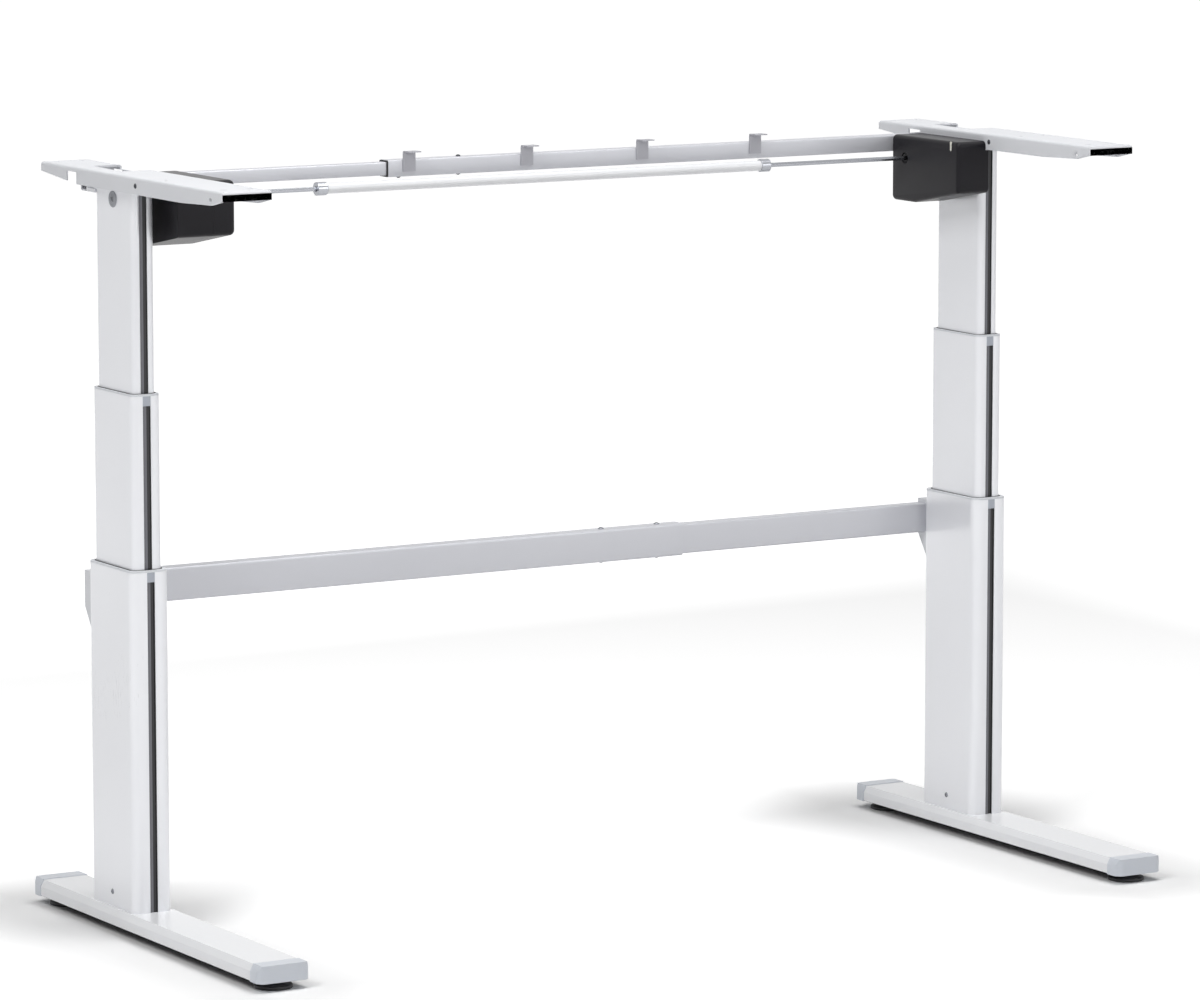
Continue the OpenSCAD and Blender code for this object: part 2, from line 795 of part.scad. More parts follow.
// Bush that carries the outer end of the cross shaft, seen as a round plug on the tube
bush_r = 11;
bush_flange_r = 13;
bush_flange_t = 1.5;

module cross_bush(s) {
    color("lightgray") leg(s) difference() {
        translate([-inner_w / 2 - bush_flange_t, 0, cross_z]) rotate([0, 90, 0]) {
            cylinder(r = bush_flange_r, h = bush_flange_t);
            cylinder(r = bush_r, h = bush_flange_t + inner_wall);
        }
        translate([-inner_w / 2, 0, cross_z]) rotate([0, 90, 0])
            cylinder(r = cross_r + turn_gap, h = inner_wall + over);
    }
}

// Side view of a bracket flange, measured from the bracket's top at the column axis.
// Its underside is level in the middle and rises to both ends, and the front corner is cut.
module flange_side() {
    nose_cut = 37;
    nose_lip_share = 0.65;
    front_bend_share = 2 / 3;
    rear_bend_share = 0.4;
    polygon([
        [-bracket_front, 0],
        [-bracket_front, -nose_h * nose_lip_share],
        [-bracket_front + nose_cut, -nose_h],
        [-bracket_front * front_bend_share, -bracket_h],
        [bracket_rear * rear_bend_share, -bracket_h],
        [bracket_rear, -tail_h],
        [bracket_rear, 0]
    ]);
}

rear_hole_in = 19;
front_hole_in = 230;
slot_in = 35;
apron_in = 41;
top_hole_rear = bracket_rear - rear_hole_in;
top_hole_front = bracket_front - front_hole_in;
slot_front = bracket_front - slot_in;
window_x = -11;
window_front = 17;
window_rear = 93;
window_drop = 7;
apron_front = bracket_front - apron_in;
apron_drop = 15;
notch_front = 86;
notch_rear = 121;
notch_drop = 8;

// The worktop bracket: an inverted sheet channel over the head, with a window beside the
// gears, a notch in each flange for the upper bar, and the worktop's screw holes
module top_bracket(s) {
    flip = s > 0 ? -1 : 1;
    color("whitesmoke") leg(s) translate([0, 0, bracket_top]) scale([flip, 1, 1]) difference() {
        translate([-bracket_w / 2, 0, 0]) rotate([90, 0, 90]) linear_extrude(bracket_w) flange_side();
        translate([-bracket_w / 2 + bracket_t, -bracket_front - over, -bracket_h - over])
            cube([bracket_w - 2 * bracket_t, bracket_front + bracket_rear + 2 * over,
                bracket_h + over - bracket_t]);
        translate([window_x, -window_front, -window_drop])
            cube([bracket_w, window_front + window_rear, window_drop + over]);
        translate([-bracket_w, notch_front, -bracket_h - over])
            cube([2 * bracket_w, notch_rear - notch_front, bracket_h - notch_drop + over]);
        for (i = [-1, 1], y = [-top_hole_front, top_hole_rear]) {
            translate([i * top_hole_w / 2, y, -bracket_t - over]) cylinder(r = top_hole_r, h = bracket_t + 2 * over);
        }
        for (i = [-1, 1]) {
            translate([i * top_hole_w / 2, -slot_front, 0]) slot_cut();
            translate([i * bracket_w / 2, -bolt_front, -bolt_drop]) rotate([0, 90, 0])
                cylinder(r = bolt_r + turn_gap, h = 3 * bracket_t, center = true);
        }
        translate([0, -apron_front, -apron_drop]) rotate([0, 90, 0])
            cylinder(r = top_hole_r, h = bracket_w + 2 * over, center = true);
    }
}

// A slot with round ends that runs sideways
module slot_cut() {
    step = slot_len - 2 * top_hole_r;
    for (i = [-1, 1]) {
        translate([i * step / 2, 0, -bracket_t - over]) cylinder(r = top_hole_r, h = bracket_t + 2 * over);
    }
    translate([-step / 2, -top_hole_r, -bracket_t - over]) cube([step, 2 * top_hole_r, bracket_t + 2 * over]);
}

up_clamp_first = 26;
up_clamp_second = 138;
up_clamp_xs = [up_tube_x + up_clamp_first, up_tube_x + up_clamp_second];

// Cross bolts of the bracket, screws of the upper bar, and on the right the clamp screws
module head_screws(s, bar_gap) {
    color("dimgray") {
        leg(s) {
            for (i = [-1, 1]) {
                translate([i * bracket_w / 2, -bolt_front, bracket_top - bolt_drop]) rotate([0, i * 90, 0])
                    dome_screw(bolt_r, bolt_head_r, bolt_head_t, bracket_t + cheek_gap + cheek_t);
            }
            for (i = [-1, 1]) {
                translate([i * bar_bolt_x, up_bar_y + bar_gap - cheek_t, up_bar_mid_z]) rotate([90, 0, 0])
                    dome_screw(clamp_r, bolt_head_r, bolt_head_t, cheek_t + up_bar_wall);
            }
        }
        if (s > 0) {
            for (x = up_clamp_xs) {
                translate([x, up_bar_mid_y + col_y, up_bar_z]) rotate([180, 0, 0])
                    dome_screw(clamp_r, bolt_head_r, clamp_head_t, up_bar_wall);
            }
            translate([up_clamp_xs[1], up_bar_mid_y + col_y, up_bar_z + up_bar_h])
                dome_screw(clamp_r, bolt_head_r, clamp_head_t, up_bar_wall);
        }
    }
}

// Upper bar: a square rod tube fixed on the left, and the outer tube fixed on the right
module bar_bolt_cuts(s, y0) {
    leg(s) for (i = [-1, 1]) {
        translate([i * bar_bolt_x, y0, up_bar_mid_z]) rotate([-90, 0, 0])
            cylinder(r = clamp_r + turn_gap, h = 2 * up_bar_wall, center = true);
    }
}

up_rod_y = up_bar_mid_y - up_rod_h / 2;

module upper_bar_rod() {
    x0 = -span / 2 - up_end_in;
    x1 = up_tube_x + up_overlap;
    color("darkgray") difference() {
        translate([x0, col_y + up_rod_y, up_bar_mid_z - up_rod_h / 2]) cube([x1 - x0, up_rod_h, up_rod_h]);
        translate([x0 - over, col_y + up_rod_y + up_bar_wall, up_bar_mid_z - up_rod_h / 2 + up_bar_wall])
            cube([x1 - x0 + 2 * over, up_rod_h - 2 * up_bar_wall, up_rod_h - 2 * up_bar_wall]);
        bar_bolt_cuts(-1, up_rod_y);
    }
}

module upper_bar_tube() {
    x1 = span / 2 + up_end_in;
    color("darkgray") difference() {
        translate([up_tube_x, col_y + up_bar_y, up_bar_z]) cube([x1 - up_tube_x, up_bar_h, up_bar_h]);
        translate([up_tube_x - over, col_y + up_bar_y + up_bar_wall, up_bar_z + up_bar_wall])
            cube([x1 - up_tube_x + 2 * over, up_bar_h - 2 * up_bar_wall, up_bar_h - 2 * up_bar_wall]);
        bar_bolt_cuts(1, up_bar_y);
        for (x = up_clamp_xs) {
            translate([x, up_bar_mid_y + col_y, up_bar_z])
                cylinder(r = clamp_r, h = 2 * up_bar_wall + over, center = true);
        }
        translate([up_clamp_xs[1], up_bar_mid_y + col_y, up_bar_z + up_bar_h])
            cylinder(r = clamp_r, h = 2 * up_bar_wall + over, center = true);
    }
}

// Bent clips on the front of the upper bar, level with the bracket tops, for the worktop
clip_t = 2;
clip_first = 38;
clip_drop = 34;
clip_reach = 22;
clip_hole_r = 2.5;
clip_hole_share = 0.55;

module bar_clips() {
    color("gainsboro") for (k = [0 : clip_count - 1]) {
        translate([up_tube_x + clip_first + k * clip_pitch - clip_w / 2, col_y + up_bar_y, bracket_top])
            difference() {
                union() {
                    translate([0, -clip_t, -clip_drop]) cube([clip_w, clip_t, clip_drop]);
                    translate([0, -clip_reach, -clip_t]) cube([clip_w, clip_reach, clip_t]);
                }
                translate([clip_w / 2, -clip_reach * clip_hole_share, -clip_t - over])
                    cylinder(r = clip_hole_r, h = clip_t + 2 * over);
            }
    }
}

// Side view of the covers inside the given wall allowance: round corners and a bottom that
// is level at the rear and rises straight to the front
module cover_side(in) {
    r = cover_r - in;
    hull() {
        translate([cover_rear - cover_r, cover_top - cover_r]) circle(r, $fn = 32);
        translate([-cover_front + cover_r, cover_top - cover_r]) circle(r, $fn = 32);
        translate([cover_rear - cover_r, cover_z + cover_r]) circle(r, $fn = 32);
        translate([rise_start, cover_z + cover_r]) circle(r, $fn = 32);
        translate([-cover_front + cover_r, cover_z + cover_r + cover_rise]) circle(r, $fn = 32);
    }
}

// Draws a side view upright, from x0 to x1
module upright(x0, x1) {
    translate([x0, 0, 0]) rotate([90, 0, 90]) linear_extrude(x1 - x0) children();
}

module gear_cover(s) {
    low_top = bracket_z - cover_step_gap;
    color([0.1, 0.1, 0.12]) leg(s) difference() {
        union() {
            upright(bracket_w / 2, cover_out) cover_side(0);
            intersection() {
                upright(cover_in, bracket_w / 2 + over) cover_side(0);
                translate([0, -cover_front - over, cover_z - over])
                    cube([cover_out, cover_front + cover_rear + 2 * over, low_top - cover_z + over]);
            }
        }
        upright(bracket_w / 2 + cover_wall, cover_out - cover_wall) cover_side(cover_wall);
        intersection() {
            upright(cover_in + cover_wall, bracket_w / 2 + cover_wall + over) cover_side(cover_wall);
            translate([0, -cover_front - over, cover_z - over])
                cube([cover_out, cover_front + cover_rear + 2 * over,
                    low_top - cover_wall - cover_z + over]);
        }
        translate([cover_out - cover_wall - over, drive_back, drive_z]) rotate([0, 90, 0])
            cylinder(r = hub_r + turn_gap, h = cover_wall + 2 * over);
        translate([cover_in - over, 0, cross_z]) rotate([0, 90, 0])
            cylinder(r = cross_r + turn_gap, h = cover_wall + 2 * over);
    }
}

module motor_cover() {
    rod_gap = 2;
    x1 = cover_out + motor_cover_len;
    color([0.1, 0.1, 0.12]) leg(-1) difference() {
        upright(cover_out, x1) cover_side(0);
        upright(cover_out - over, x1 - cover_wall) cover_side(cover_wall);
        translate([x1 - cover_wall - over, drive_back, drive_z]) rotate([0, 90, 0])
            cylinder(r = hex_r + rod_gap, h = cover_wall + 2 * over);
    }
}

// Hollow-shaft motor: a can with a smaller rear boss, screwed to the gear cover's wall
module motor() {
    boss_len = 6;
    can_r = cover_rear - drive_back - cover_wall - motor_gap;
    color("dimgray") leg(-1) translate([cover_out, drive_back, drive_z]) rotate([0, 90, 0])
        difference() {
            union() {
                cylinder(r = can_r, h = motor_len - boss_len);
                cylinder(r = can_r / 2, h = motor_len);
            }
            translate([0, 0, -over]) cylinder(r = hub_r + 2 * turn_gap, h = motor_len + 2 * over);
        }
}

// Outline of a spur gear with straight-flanked teeth
foot_depth_share = 1.2;
tip_reach_share = 0.85;
foot_width_share = 0.3;
tip_width_share = 0.1;
sink_share = 0.9;

module gear_outline(teeth, turn) {
    pitch_r = gear_module * teeth / 2;
    root_r = pitch_r - gear_module * foot_depth_share;
    tip_r = pitch_r + gear_module * tip_reach_share;
    half_root = pi * gear_module * foot_width_share;
    half_tip = pi * gear_module * tip_width_share;
    rotate(turn) {
        circle(root_r);
        for (k = [0 : teeth - 1]) {
            rotate(k * 360 / teeth) polygon([
                [root_r * sink_share, -half_root],
                [tip_r, -half_tip],
                [tip_r, half_tip],
                [root_r * sink_share, half_root]
            ]);
        }
    }
}

// Cross shaft with its gear and bevel. A tooth of the gear points to the drive shaft, and
// the gear on the drive shaft is turned half a pitch, so that they mesh.
module gear_shaft(s) {
    shaft_len = gear_x + gear_t;
    bevel_h = bevel_r / 2;
    color("silver") leg(s) translate([0, 0, cross_z]) rotate([90, 0, 90]) {
        translate([0, 0, -inner_w / 2]) cylinder(r = cross_r, h = shaft_len + inner_w / 2);
        translate([0, 0, gear_x]) linear_extrude(gear_t) gear_outline(gear_teeth, mesh_turn);
        translate([0, 0, bevel_r / 2])
            cylinder(r1 = bevel_r / 2 - bevel_gap, r2 = bevel_r - bevel_gap, h = bevel_h);
    }
}

module drive_gear() {
    hub_len = cover_out - gear_x - hub_recess;
    rotate([90, 0, 90]) difference() {
        union() {
            linear_extrude(gear_t)
                gear_outline(pinion_teeth, mesh_turn + 180 + 180 / pinion_teeth);
            cylinder(r = hub_r, h = hub_len);
        }
        translate([0, 0, -over]) cylinder(r = hex_r, h = hub_len + 2 * over, $fn = 6);
    }
}

collar_len = 18;
collar_seat = 12;
shaft_tube_wall = 1.5;
shaft_tube_x = -span / 2 + shaft_tube_gap;
shaft_tube_end = shaft_tube_x + shaft_tube_len;
rod_overlap_left = 60;

module hex_rod(x0, x1) {
    translate([x0, drive_y, drive_z]) rotate([90, 0, 90]) cylinder(r = hex_r, h = x1 - x0, $fn = 6);
}

module left_drive_rod() {
    color("silver") {
        hex_rod(-span / 2 + gear_x, shaft_tube_x + rod_overlap_left);
        leg(-1) translate([gear_x, drive_back, drive_z]) drive_gear();
    }
}

module right_drive_rod() {
    color("silver") {
        hex_rod(shaft_tube_end - shaft_overlap, span / 2 - gear_x);
        leg(1) translate([gear_x, drive_back, drive_z]) drive_gear();
    }
}

module shaft_tube() {
    color("white") translate([shaft_tube_x, drive_y, drive_z]) rotate([0, 90, 0]) difference() {
        cylinder(r = shaft_tube_r, h = shaft_tube_len);
        translate([0, 0, -over]) cylinder(r = shaft_tube_r - shaft_tube_wall, h = shaft_tube_len + 2 * over);
    }
}

// A clamp collar, drawn for the tube's left end: it seats on the tube and guides the hex rod
module shaft_collar() {
    collar_edge = 2;
    collar_r = shaft_tube_r + collar_edge;
    rotate([0, 90, 0]) difference() {
        translate([0, 0, collar_seat - collar_len]) cylinder(r = collar_r, h = collar_len);
        cylinder(r = shaft_tube_r, h = collar_seat + over);
        translate([0, 0, collar_seat - collar_len - over]) cylinder(r = hex_r + turn_gap, h = collar_len);
    }
}

module shaft_collars() {
    color("lightgray") {
        translate([shaft_tube_x, drive_y, drive_z]) shaft_collar();
        translate([shaft_tube_end, drive_y, drive_z]) mirror([1, 0, 0]) shaft_collar();
    }
}

rod_bar_gap = (up_bar_h - up_rod_h) / 2;

foot_rail(-1);  // left_foot_rail
foot_caps(-1);  // left_foot_caps
glide(-1, glide_rear_y);  // left_rear_glide
glide(-1, glide_front_y);  // left_front_glide
outer_tube(-1);  // left_outer_tube
outer_collar(-1);  // left_outer_collar
outer_strips(-1);  // left_outer_strips
lower_screw(-1);  // left_lower_screw
base_fasteners(-1);  // left_base_fasteners
hanger(-1);  // left_hanger
lower_bar_sleeve();
mid_tube(-1);  // left_mid_tube
mid_collar(-1);  // left_mid_collar
mid_strips(-1);  // left_mid_strips
mid_pads(-1);  // left_mid_pads
screw_tube(-1);  // left_screw_tube
inner_tube(-1, rod_bar_gap);  // left_inner_tube
inner_strips(-1);  // left_inner_strips
inner_pads(-1);  // left_inner_pads
top_bracket(-1);  // left_top_bracket
head_screws(-1, rod_bar_gap);  // left_head_screws
gear_cover(-1);  // left_gear_cover
motor_cover();  // left_motor_cover
motor();  // left_motor
cross_bush(-1);  // left_cross_bush
upper_bar_rod();
top_screw(-1);  // left_top_screw
gear_shaft(-1);  // left_gear_shaft
left_drive_rod();
shaft_tube();
shaft_collars();
foot_rail(1);  // right_foot_rail
foot_caps(1);  // right_foot_caps
glide(1, glide_rear_y);  // right_rear_glide
glide(1, glide_front_y);  // right_front_glide
outer_tube(1);  // right_outer_tube
outer_collar(1);  // right_outer_collar
outer_strips(1);  // right_outer_strips
lower_screw(1);  // right_lower_screw
base_fasteners(1);  // right_base_fasteners
hanger(1);  // right_hanger
lower_bar_slide();
mid_tube(1);  // right_mid_tube
mid_collar(1);  // right_mid_collar
mid_strips(1);  // right_mid_strips
mid_pads(1);  // right_mid_pads
screw_tube(1);  // right_screw_tube
inner_tube(1, 0);  // right_inner_tube
inner_strips(1);  // right_inner_strips
inner_pads(1);  // right_inner_pads
top_bracket(1);  // right_top_bracket
head_screws(1, 0);  // right_head_screws
gear_cover(1);  // right_gear_cover
cross_bush(1);  // right_cross_bush
upper_bar_tube();
bar_clips();
top_screw(1);  // right_top_screw
gear_shaft(1);  // right_gear_shaft
right_drive_rod();
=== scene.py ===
import json
import math
import bmesh
import bpy
from mathutils import Matrix, Vector


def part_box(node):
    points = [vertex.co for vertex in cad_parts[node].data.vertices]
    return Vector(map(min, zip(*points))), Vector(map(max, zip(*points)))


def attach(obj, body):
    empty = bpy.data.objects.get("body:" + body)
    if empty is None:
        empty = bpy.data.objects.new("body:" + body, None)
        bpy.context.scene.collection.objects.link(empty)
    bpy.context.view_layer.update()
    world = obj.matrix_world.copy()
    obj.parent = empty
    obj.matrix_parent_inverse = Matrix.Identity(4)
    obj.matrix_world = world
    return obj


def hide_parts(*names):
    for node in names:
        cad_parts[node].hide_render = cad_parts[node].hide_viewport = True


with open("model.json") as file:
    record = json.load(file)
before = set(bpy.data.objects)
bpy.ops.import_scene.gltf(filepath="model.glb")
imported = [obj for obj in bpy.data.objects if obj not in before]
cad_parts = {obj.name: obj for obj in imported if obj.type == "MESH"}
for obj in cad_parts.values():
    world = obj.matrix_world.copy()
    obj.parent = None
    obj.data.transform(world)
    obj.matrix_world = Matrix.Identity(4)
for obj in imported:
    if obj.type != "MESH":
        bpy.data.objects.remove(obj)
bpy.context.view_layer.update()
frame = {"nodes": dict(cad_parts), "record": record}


# The view. The photograph was taken from about ten metres with a long lens, thirty degrees
# round to the left of the frame's front and a little above it.
eye = bpy.data.cameras.new("view")
eye.sensor_width = 36
eye.lens = 184.6
eye.clip_start = 0.5
eye.clip_end = 200
eye_at = bpy.data.objects.new("view", eye)
eye_at.location = (-5.0794, -8.5609, 2.0745)
eye_at.rotation_euler = (math.radians(90 - 8.135), 0, math.radians(-30.663))
bpy.context.scene.collection.objects.link(eye_at)
bpy.context.scene.camera = eye_at
bpy.context.scene.view_settings.view_transform = "Standard"


# The studio. A seamless pale floor under three soft boxes: one high on the left, a wide one
# overhead and a weak one low in front. The floor glows away from the feet, so that it reads
# as white like the room behind it and still keeps the shadows.
def seen_directly(nodes, links):
    """1 where the eye, a reflection or clear glass sees the surface, and 0 for its light."""
    path = nodes.new("ShaderNodeLightPath")
    total = path.outputs["Is Camera Ray"]
    for name in ("Is Glossy Ray", "Is Transmission Ray"):
        add = nodes.new("ShaderNodeMath")
        add.operation = "ADD"
        add.use_clamp = True
        links.new(total, add.inputs[0])
        links.new(path.outputs[name], add.inputs[1])
        total = add.outputs["Value"]
    return total


room = bpy.data.worlds.new("room")
room.use_nodes = True
room_nodes = room.node_tree.nodes
room_links = room.node_tree.links
room_light = room_nodes["Background"]
room_light.inputs["Color"].default_value = (1, 1, 1, 1)
room_strength = room_nodes.new("ShaderNodeMapRange")
room_strength.inputs["To Min"].default_value = 0.14
room_strength.inputs["To Max"].default_value = 1.0
room_links.new(seen_directly(room_nodes, room_links), room_strength.inputs["Value"])
room_links.new(room_strength.outputs["Result"], room_light.inputs["Strength"])
bpy.context.scene.world = room

floor_mesh = bpy.data.meshes.new("floor")
floor_mesh.from_pydata([(-60, -60, 0), (60, -60, 0), (60, 90, 0), (-60, 90, 0)], [], [(0, 1, 2, 3)])
floor = bpy.data.objects.new("floor", floor_mesh)
bpy.context.scene.collection.objects.link(floor)
floor_paint = bpy.data.materials.new("floor_paint")
floor_paint.use_nodes = True
floor_nodes = floor_paint.node_tree.nodes
floor_links = floor_paint.node_tree.links
floor_shader = floor_nodes["Principled BSDF"]
floor_shader.inputs["Base Color"].default_value = (0.95, 0.95, 0.95, 1)
floor_shader.inputs["Roughness"].default_value = 0.9
floor_shader.inputs["Specular IOR Level"].default_value = 0.0
floor_shader.inputs["Emission Color"].default_value = (1, 1, 1, 1)
floor_place = floor_nodes.new("ShaderNodeTexCoord")
floor_parts = floor_nodes.new("ShaderNodeSeparateXYZ")
floor_links.new(floor_place.outputs["Object"], floor_parts.inputs["Vector"])


def floor_math(operation, first, second=None):
    """A sum on the floor's nodes, between values or plain numbers."""
    node = floor_nodes.new("ShaderNodeMath")
    node.operation = operation
    for k, value in enumerate((first, second)):
        if isinstance(value, (int, float)):
            node.inputs[k].default_value = value
        elif value is not None:
            floor_links.new(value, node.inputs[k])
    return node.outputs["Value"]


def floor_ramp(value, near, far, low, high):
    """A soft step on the floor's nodes, from low at near to high at far."""
    node = floor_nodes.new("ShaderNodeMapRange")
    node.interpolation_type = "SMOOTHSTEP"
    for name, amount in (("From Min", near), ("From Max", far), ("To Min", low), ("To Max", high)):
        node.inputs[name].default_value = amount
    floor_links.new(value, node.inputs["Value"])
    return node.outputs["Result"]


column_x = 0.8
rail_end = 0.40
rail_side = 0.06
sideways = floor_math("ABSOLUTE", floor_parts.outputs["X"])
lengthways = floor_math("ABSOLUTE", floor_parts.outputs["Y"])
beside = floor_math("ABSOLUTE", floor_math("SUBTRACT", sideways, column_x))
beyond = floor_math("SUBTRACT", lengthways, rail_end)
off_feet = floor_math("ADD", floor_math("MAXIMUM", floor_math("SUBTRACT", beside, rail_side), 0.0),
                      floor_math("MAXIMUM", beyond, 0.0))
floor_reach = floor_math("MAXIMUM", sideways, lengthways)
floor_light = floor_math("MAXIMUM", floor_ramp(off_feet, 0.0, 0.30, 0.0, 0.42),
                         floor_ramp(floor_reach, 1.4, 3.4, 0.0, 0.9))
floor_glow = floor_math("MULTIPLY", seen_directly(floor_nodes, floor_links), floor_light)
floor_links.new(floor_glow, floor_shader.inputs["Emission Strength"])
floor_mesh.materials.append(floor_paint)


def soft_box(name, place, aim, width, height, power):
    """A rectangular lamp that faces a point."""
    lamp = bpy.data.lights.new(name, "AREA")
    lamp.shape = "RECTANGLE"
    lamp.size = width
    lamp.size_y = height
    lamp.energy = power
    holder = bpy.data.objects.new(name, lamp)
    holder.location = place
    holder.rotation_euler = (Vector(aim) - Vector(place)).to_track_quat("-Z", "Y").to_euler()
    bpy.context.scene.collection.objects.link(holder)


soft_box("key_box", (-4.2, -1.8, 4.4), (0, 0, 0.6), 2.6, 2.6, 140)
soft_box("top_box", (0.4, -1.0, 5.2), (0, 0, 0.3), 4.0, 3.0, 155)
soft_box("fill_box", (3.0, -5.6, 2.6), (0, 0, 0.6), 2.4, 2.4, 50)


# The feet. Each is a bevelled flat aluminium extrusion, sawn to length and coated white, with
# a threaded boss near each end. The CAD solid is right, so a copy gets broken edges and paint.
def screen(red, green, blue):
    """A colour as it looks on a screen, 0 to 255, as the light values that Blender wants."""
    values = []
    for part in (red, green, blue):
        share = part / 255
        values.append(share / 12.92 if share < 0.04045 else ((share + 0.055) / 1.055) ** 2.4)
    return values


def coating(name, colour, shade, rough, metal=0.0, grain=900, stretch=(1, 1, 1), relief=0.1, patch=7,
            within=None, shine=0.5):
    """A made surface: a colour with faint broad patches, and a grain for gloss and relief.
    `within` names another colour and where it is taken, as a middle and a half width along each
    axis. X is counted from the frame's middle to both sides, and x from side to side."""
    paint = bpy.data.materials.new(name)
    paint.use_nodes = True
    nodes = paint.node_tree.nodes
    links = paint.node_tree.links
    shader = nodes["Principled BSDF"]
    shader.inputs["Metallic"].default_value = metal
    shader.inputs["Specular IOR Level"].default_value = shine
    place = nodes.new("ShaderNodeTexCoord")
    along = nodes.new("ShaderNodeMapping")
    along.inputs["Scale"].default_value = stretch
    links.new(place.outputs["Object"], along.inputs["Vector"])
    fine = nodes.new("ShaderNodeTexNoise")
    fine.inputs["Scale"].default_value = grain
    fine.inputs["Detail"].default_value = 3
    links.new(along.outputs["Vector"], fine.inputs["Vector"])
    broad = nodes.new("ShaderNodeTexNoise")
    broad.inputs["Scale"].default_value = patch
    broad.inputs["Detail"].default_value = 4
    links.new(place.outputs["Object"], broad.inputs["Vector"])
    tint = nodes.new("ShaderNodeMix")
    tint.data_type = "RGBA"
    tint.inputs[6].default_value = (*screen(*colour), 1)
    tint.inputs[7].default_value = (*screen(*shade), 1)
    links.new(broad.outputs["Fac"], tint.inputs["Factor"])
    final = tint.outputs[2]
    if within:
        dark, bounds = within
        split = nodes.new("ShaderNodeSeparateXYZ")
        links.new(place.outputs["Object"], split.inputs["Vector"])
        share = None
        for axis, centre, half in bounds:
            away = split.outputs[axis.upper()]
            if axis == "X":
                size = nodes.new("ShaderNodeMath")
                size.operation = "ABSOLUTE"
                links.new(away, size.inputs[0])
                away = size.outputs["Value"]
            near = nodes.new("ShaderNodeMath")
            near.operation = "COMPARE"
            near.inputs[1].default_value = centre
            near.inputs[2].default_value = half
            links.new(away, near.inputs[0])
            step = near.outputs["Value"]
            if share:
                both = nodes.new("ShaderNodeMath")
                both.operation = "MULTIPLY"
                links.new(share, both.inputs[0])
                links.new(step, both.inputs[1])
                step = both.outputs["Value"]
            share = step
        second = nodes.new("ShaderNodeMix")
        second.data_type = "RGBA"
        links.new(share, second.inputs["Factor"])
        links.new(final, second.inputs[6])
        second.inputs[7].default_value = (*screen(*dark), 1)
        final = second.outputs[2]
    links.new(final, shader.inputs["Base Color"])
    blend = nodes.new("ShaderNodeMath")
    blend.operation = "MULTIPLY_ADD"
    blend.inputs[1].default_value = 0.5
    links.new(fine.outputs["Fac"], blend.inputs[0])
    half = nodes.new("ShaderNodeMath")
    half.operation = "MULTIPLY"
    half.inputs[1].default_value = 0.5
    links.new(broad.outputs["Fac"], half.inputs[0])
    links.new(half.outputs["Value"], blend.inputs[2])
    gloss = nodes.new("ShaderNodeMapRange")
    gloss.inputs["From Min"].default_value = 0.3
    gloss.inputs["From Max"].default_value = 0.7
    gloss.inputs["To Min"].default_value = rough[0]
    gloss.inputs["To Max"].default_value = rough[1]
    links.new(blend.outputs["Value"], gloss.inputs["Value"])
    links.new(gloss.outputs["Result"], shader.inputs["Roughness"])
    bump = nodes.new("ShaderNodeBump")
    bump.inputs["Strength"].default_value = relief
    bump.inputs["Distance"].default_value = 0.0002
    links.new(fine.outputs["Fac"], bump.inputs["Height"])
    links.new(bump.outputs["Normal"], shader.inputs["Normal"])
    return paint


carried_by = {}
for carrier, carried in frame["record"]["behaviour"]["bodies"].items():
    for solid in carried:
        carried_by[solid] = carrier


def place_piece(name, shape, node, paint, edge, instead=True):
    """Turns a finished mesh into a piece that rides with a CAD solid, its edges broken. The
    piece is drawn instead of the solid, or beside it."""
    bmesh.ops.recalc_face_normals(shape, faces=shape.faces)
    mesh = bpy.data.meshes.new(name)
    shape.to_mesh(mesh)
    shape.free()
    mesh.shade_smooth()
    mesh.set_sharp_from_angle(angle=math.radians(32))
    mesh.materials.append(paint)
    piece = bpy.data.objects.new(name, mesh)
    bpy.context.scene.collection.objects.link(piece)
    if edge:
        ease = piece.modifiers.new("broken_edges", "BEVEL")
        ease.width = edge
        ease.segments = 2
        ease.limit_method = "ANGLE"
        ease.angle_limit = math.radians(32)
        ease.harden_normals = True
    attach(piece, carried_by[node])
    if instead:
        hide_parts(node)


def copy_solid(node):
    """A merged copy of a CAD solid's mesh, with its flat faces joined."""
    shape = bmesh.new()
    shape.from_mesh(frame["nodes"][node].data)
    bmesh.ops.remove_doubles(shape, verts=shape.verts, dist=0.000005)
    bmesh.ops.dissolve_limit(shape, angle_limit=math.radians(0.3), verts=shape.verts, edges=shape.edges)
    return shape


def finish_solid(name, node, paint, edge):
    """Draws a CAD solid in its own form, with its edges broken and its finish."""
    place_piece(name, copy_solid(node), node, paint, edge)


def round_over(shape, chosen, radius, steps=5):
    """Rounds the edges whose two ends both pass the test."""
    edges = []
    for edge in shape.edges:
        if len(edge.link_faces) == 2 and edge.calc_face_angle(0) > 0.5:
            if all(chosen(vert.co) for vert in edge.verts):
                edges.append(edge)
    bmesh.ops.bevel(shape, geom=edges, offset=radius, offset_type="OFFSET", segments=steps,
                    profile=0.5, affect="EDGES", clamp_overlap=True)


# The dark grey band on each rail's underside and lowest half millimetre is painted shade: it darkens the
# rail where it stands over its own shadow, so the floor beneath stays dark.
rail_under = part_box("left_foot_rail")[0].z
painted_shade_drop = 0.01
painted_shade_half = 0.0104
foot_white = coating("foot_white", (238, 239, 241), (232, 233, 236), (0.16, 0.26),
                     grain=1400, stretch=(1, 0.03, 1), relief=0.02,
                     within=((58, 58, 62), [("Z", rail_under - painted_shade_drop, painted_shade_half)]))
for side in ("left", "right"):
    finish_solid(f"{side}_foot_extrusion", f"{side}_foot_rail", foot_white, 0.0006)


# The foot caps. Moulded plugs of pale blue-grey plastic, pushed into both ends of a foot rail
# and a millimetre proud of it, with their corners well rounded.
cap_grey = coating("cap_grey", (208, 212, 219), (200, 205, 213), (0.28, 0.40), grain=2600, relief=0.16)
for side in ("left", "right"):
    finish_solid(f"{side}_foot_plugs", f"{side}_foot_caps", cap_grey, 0.0012)


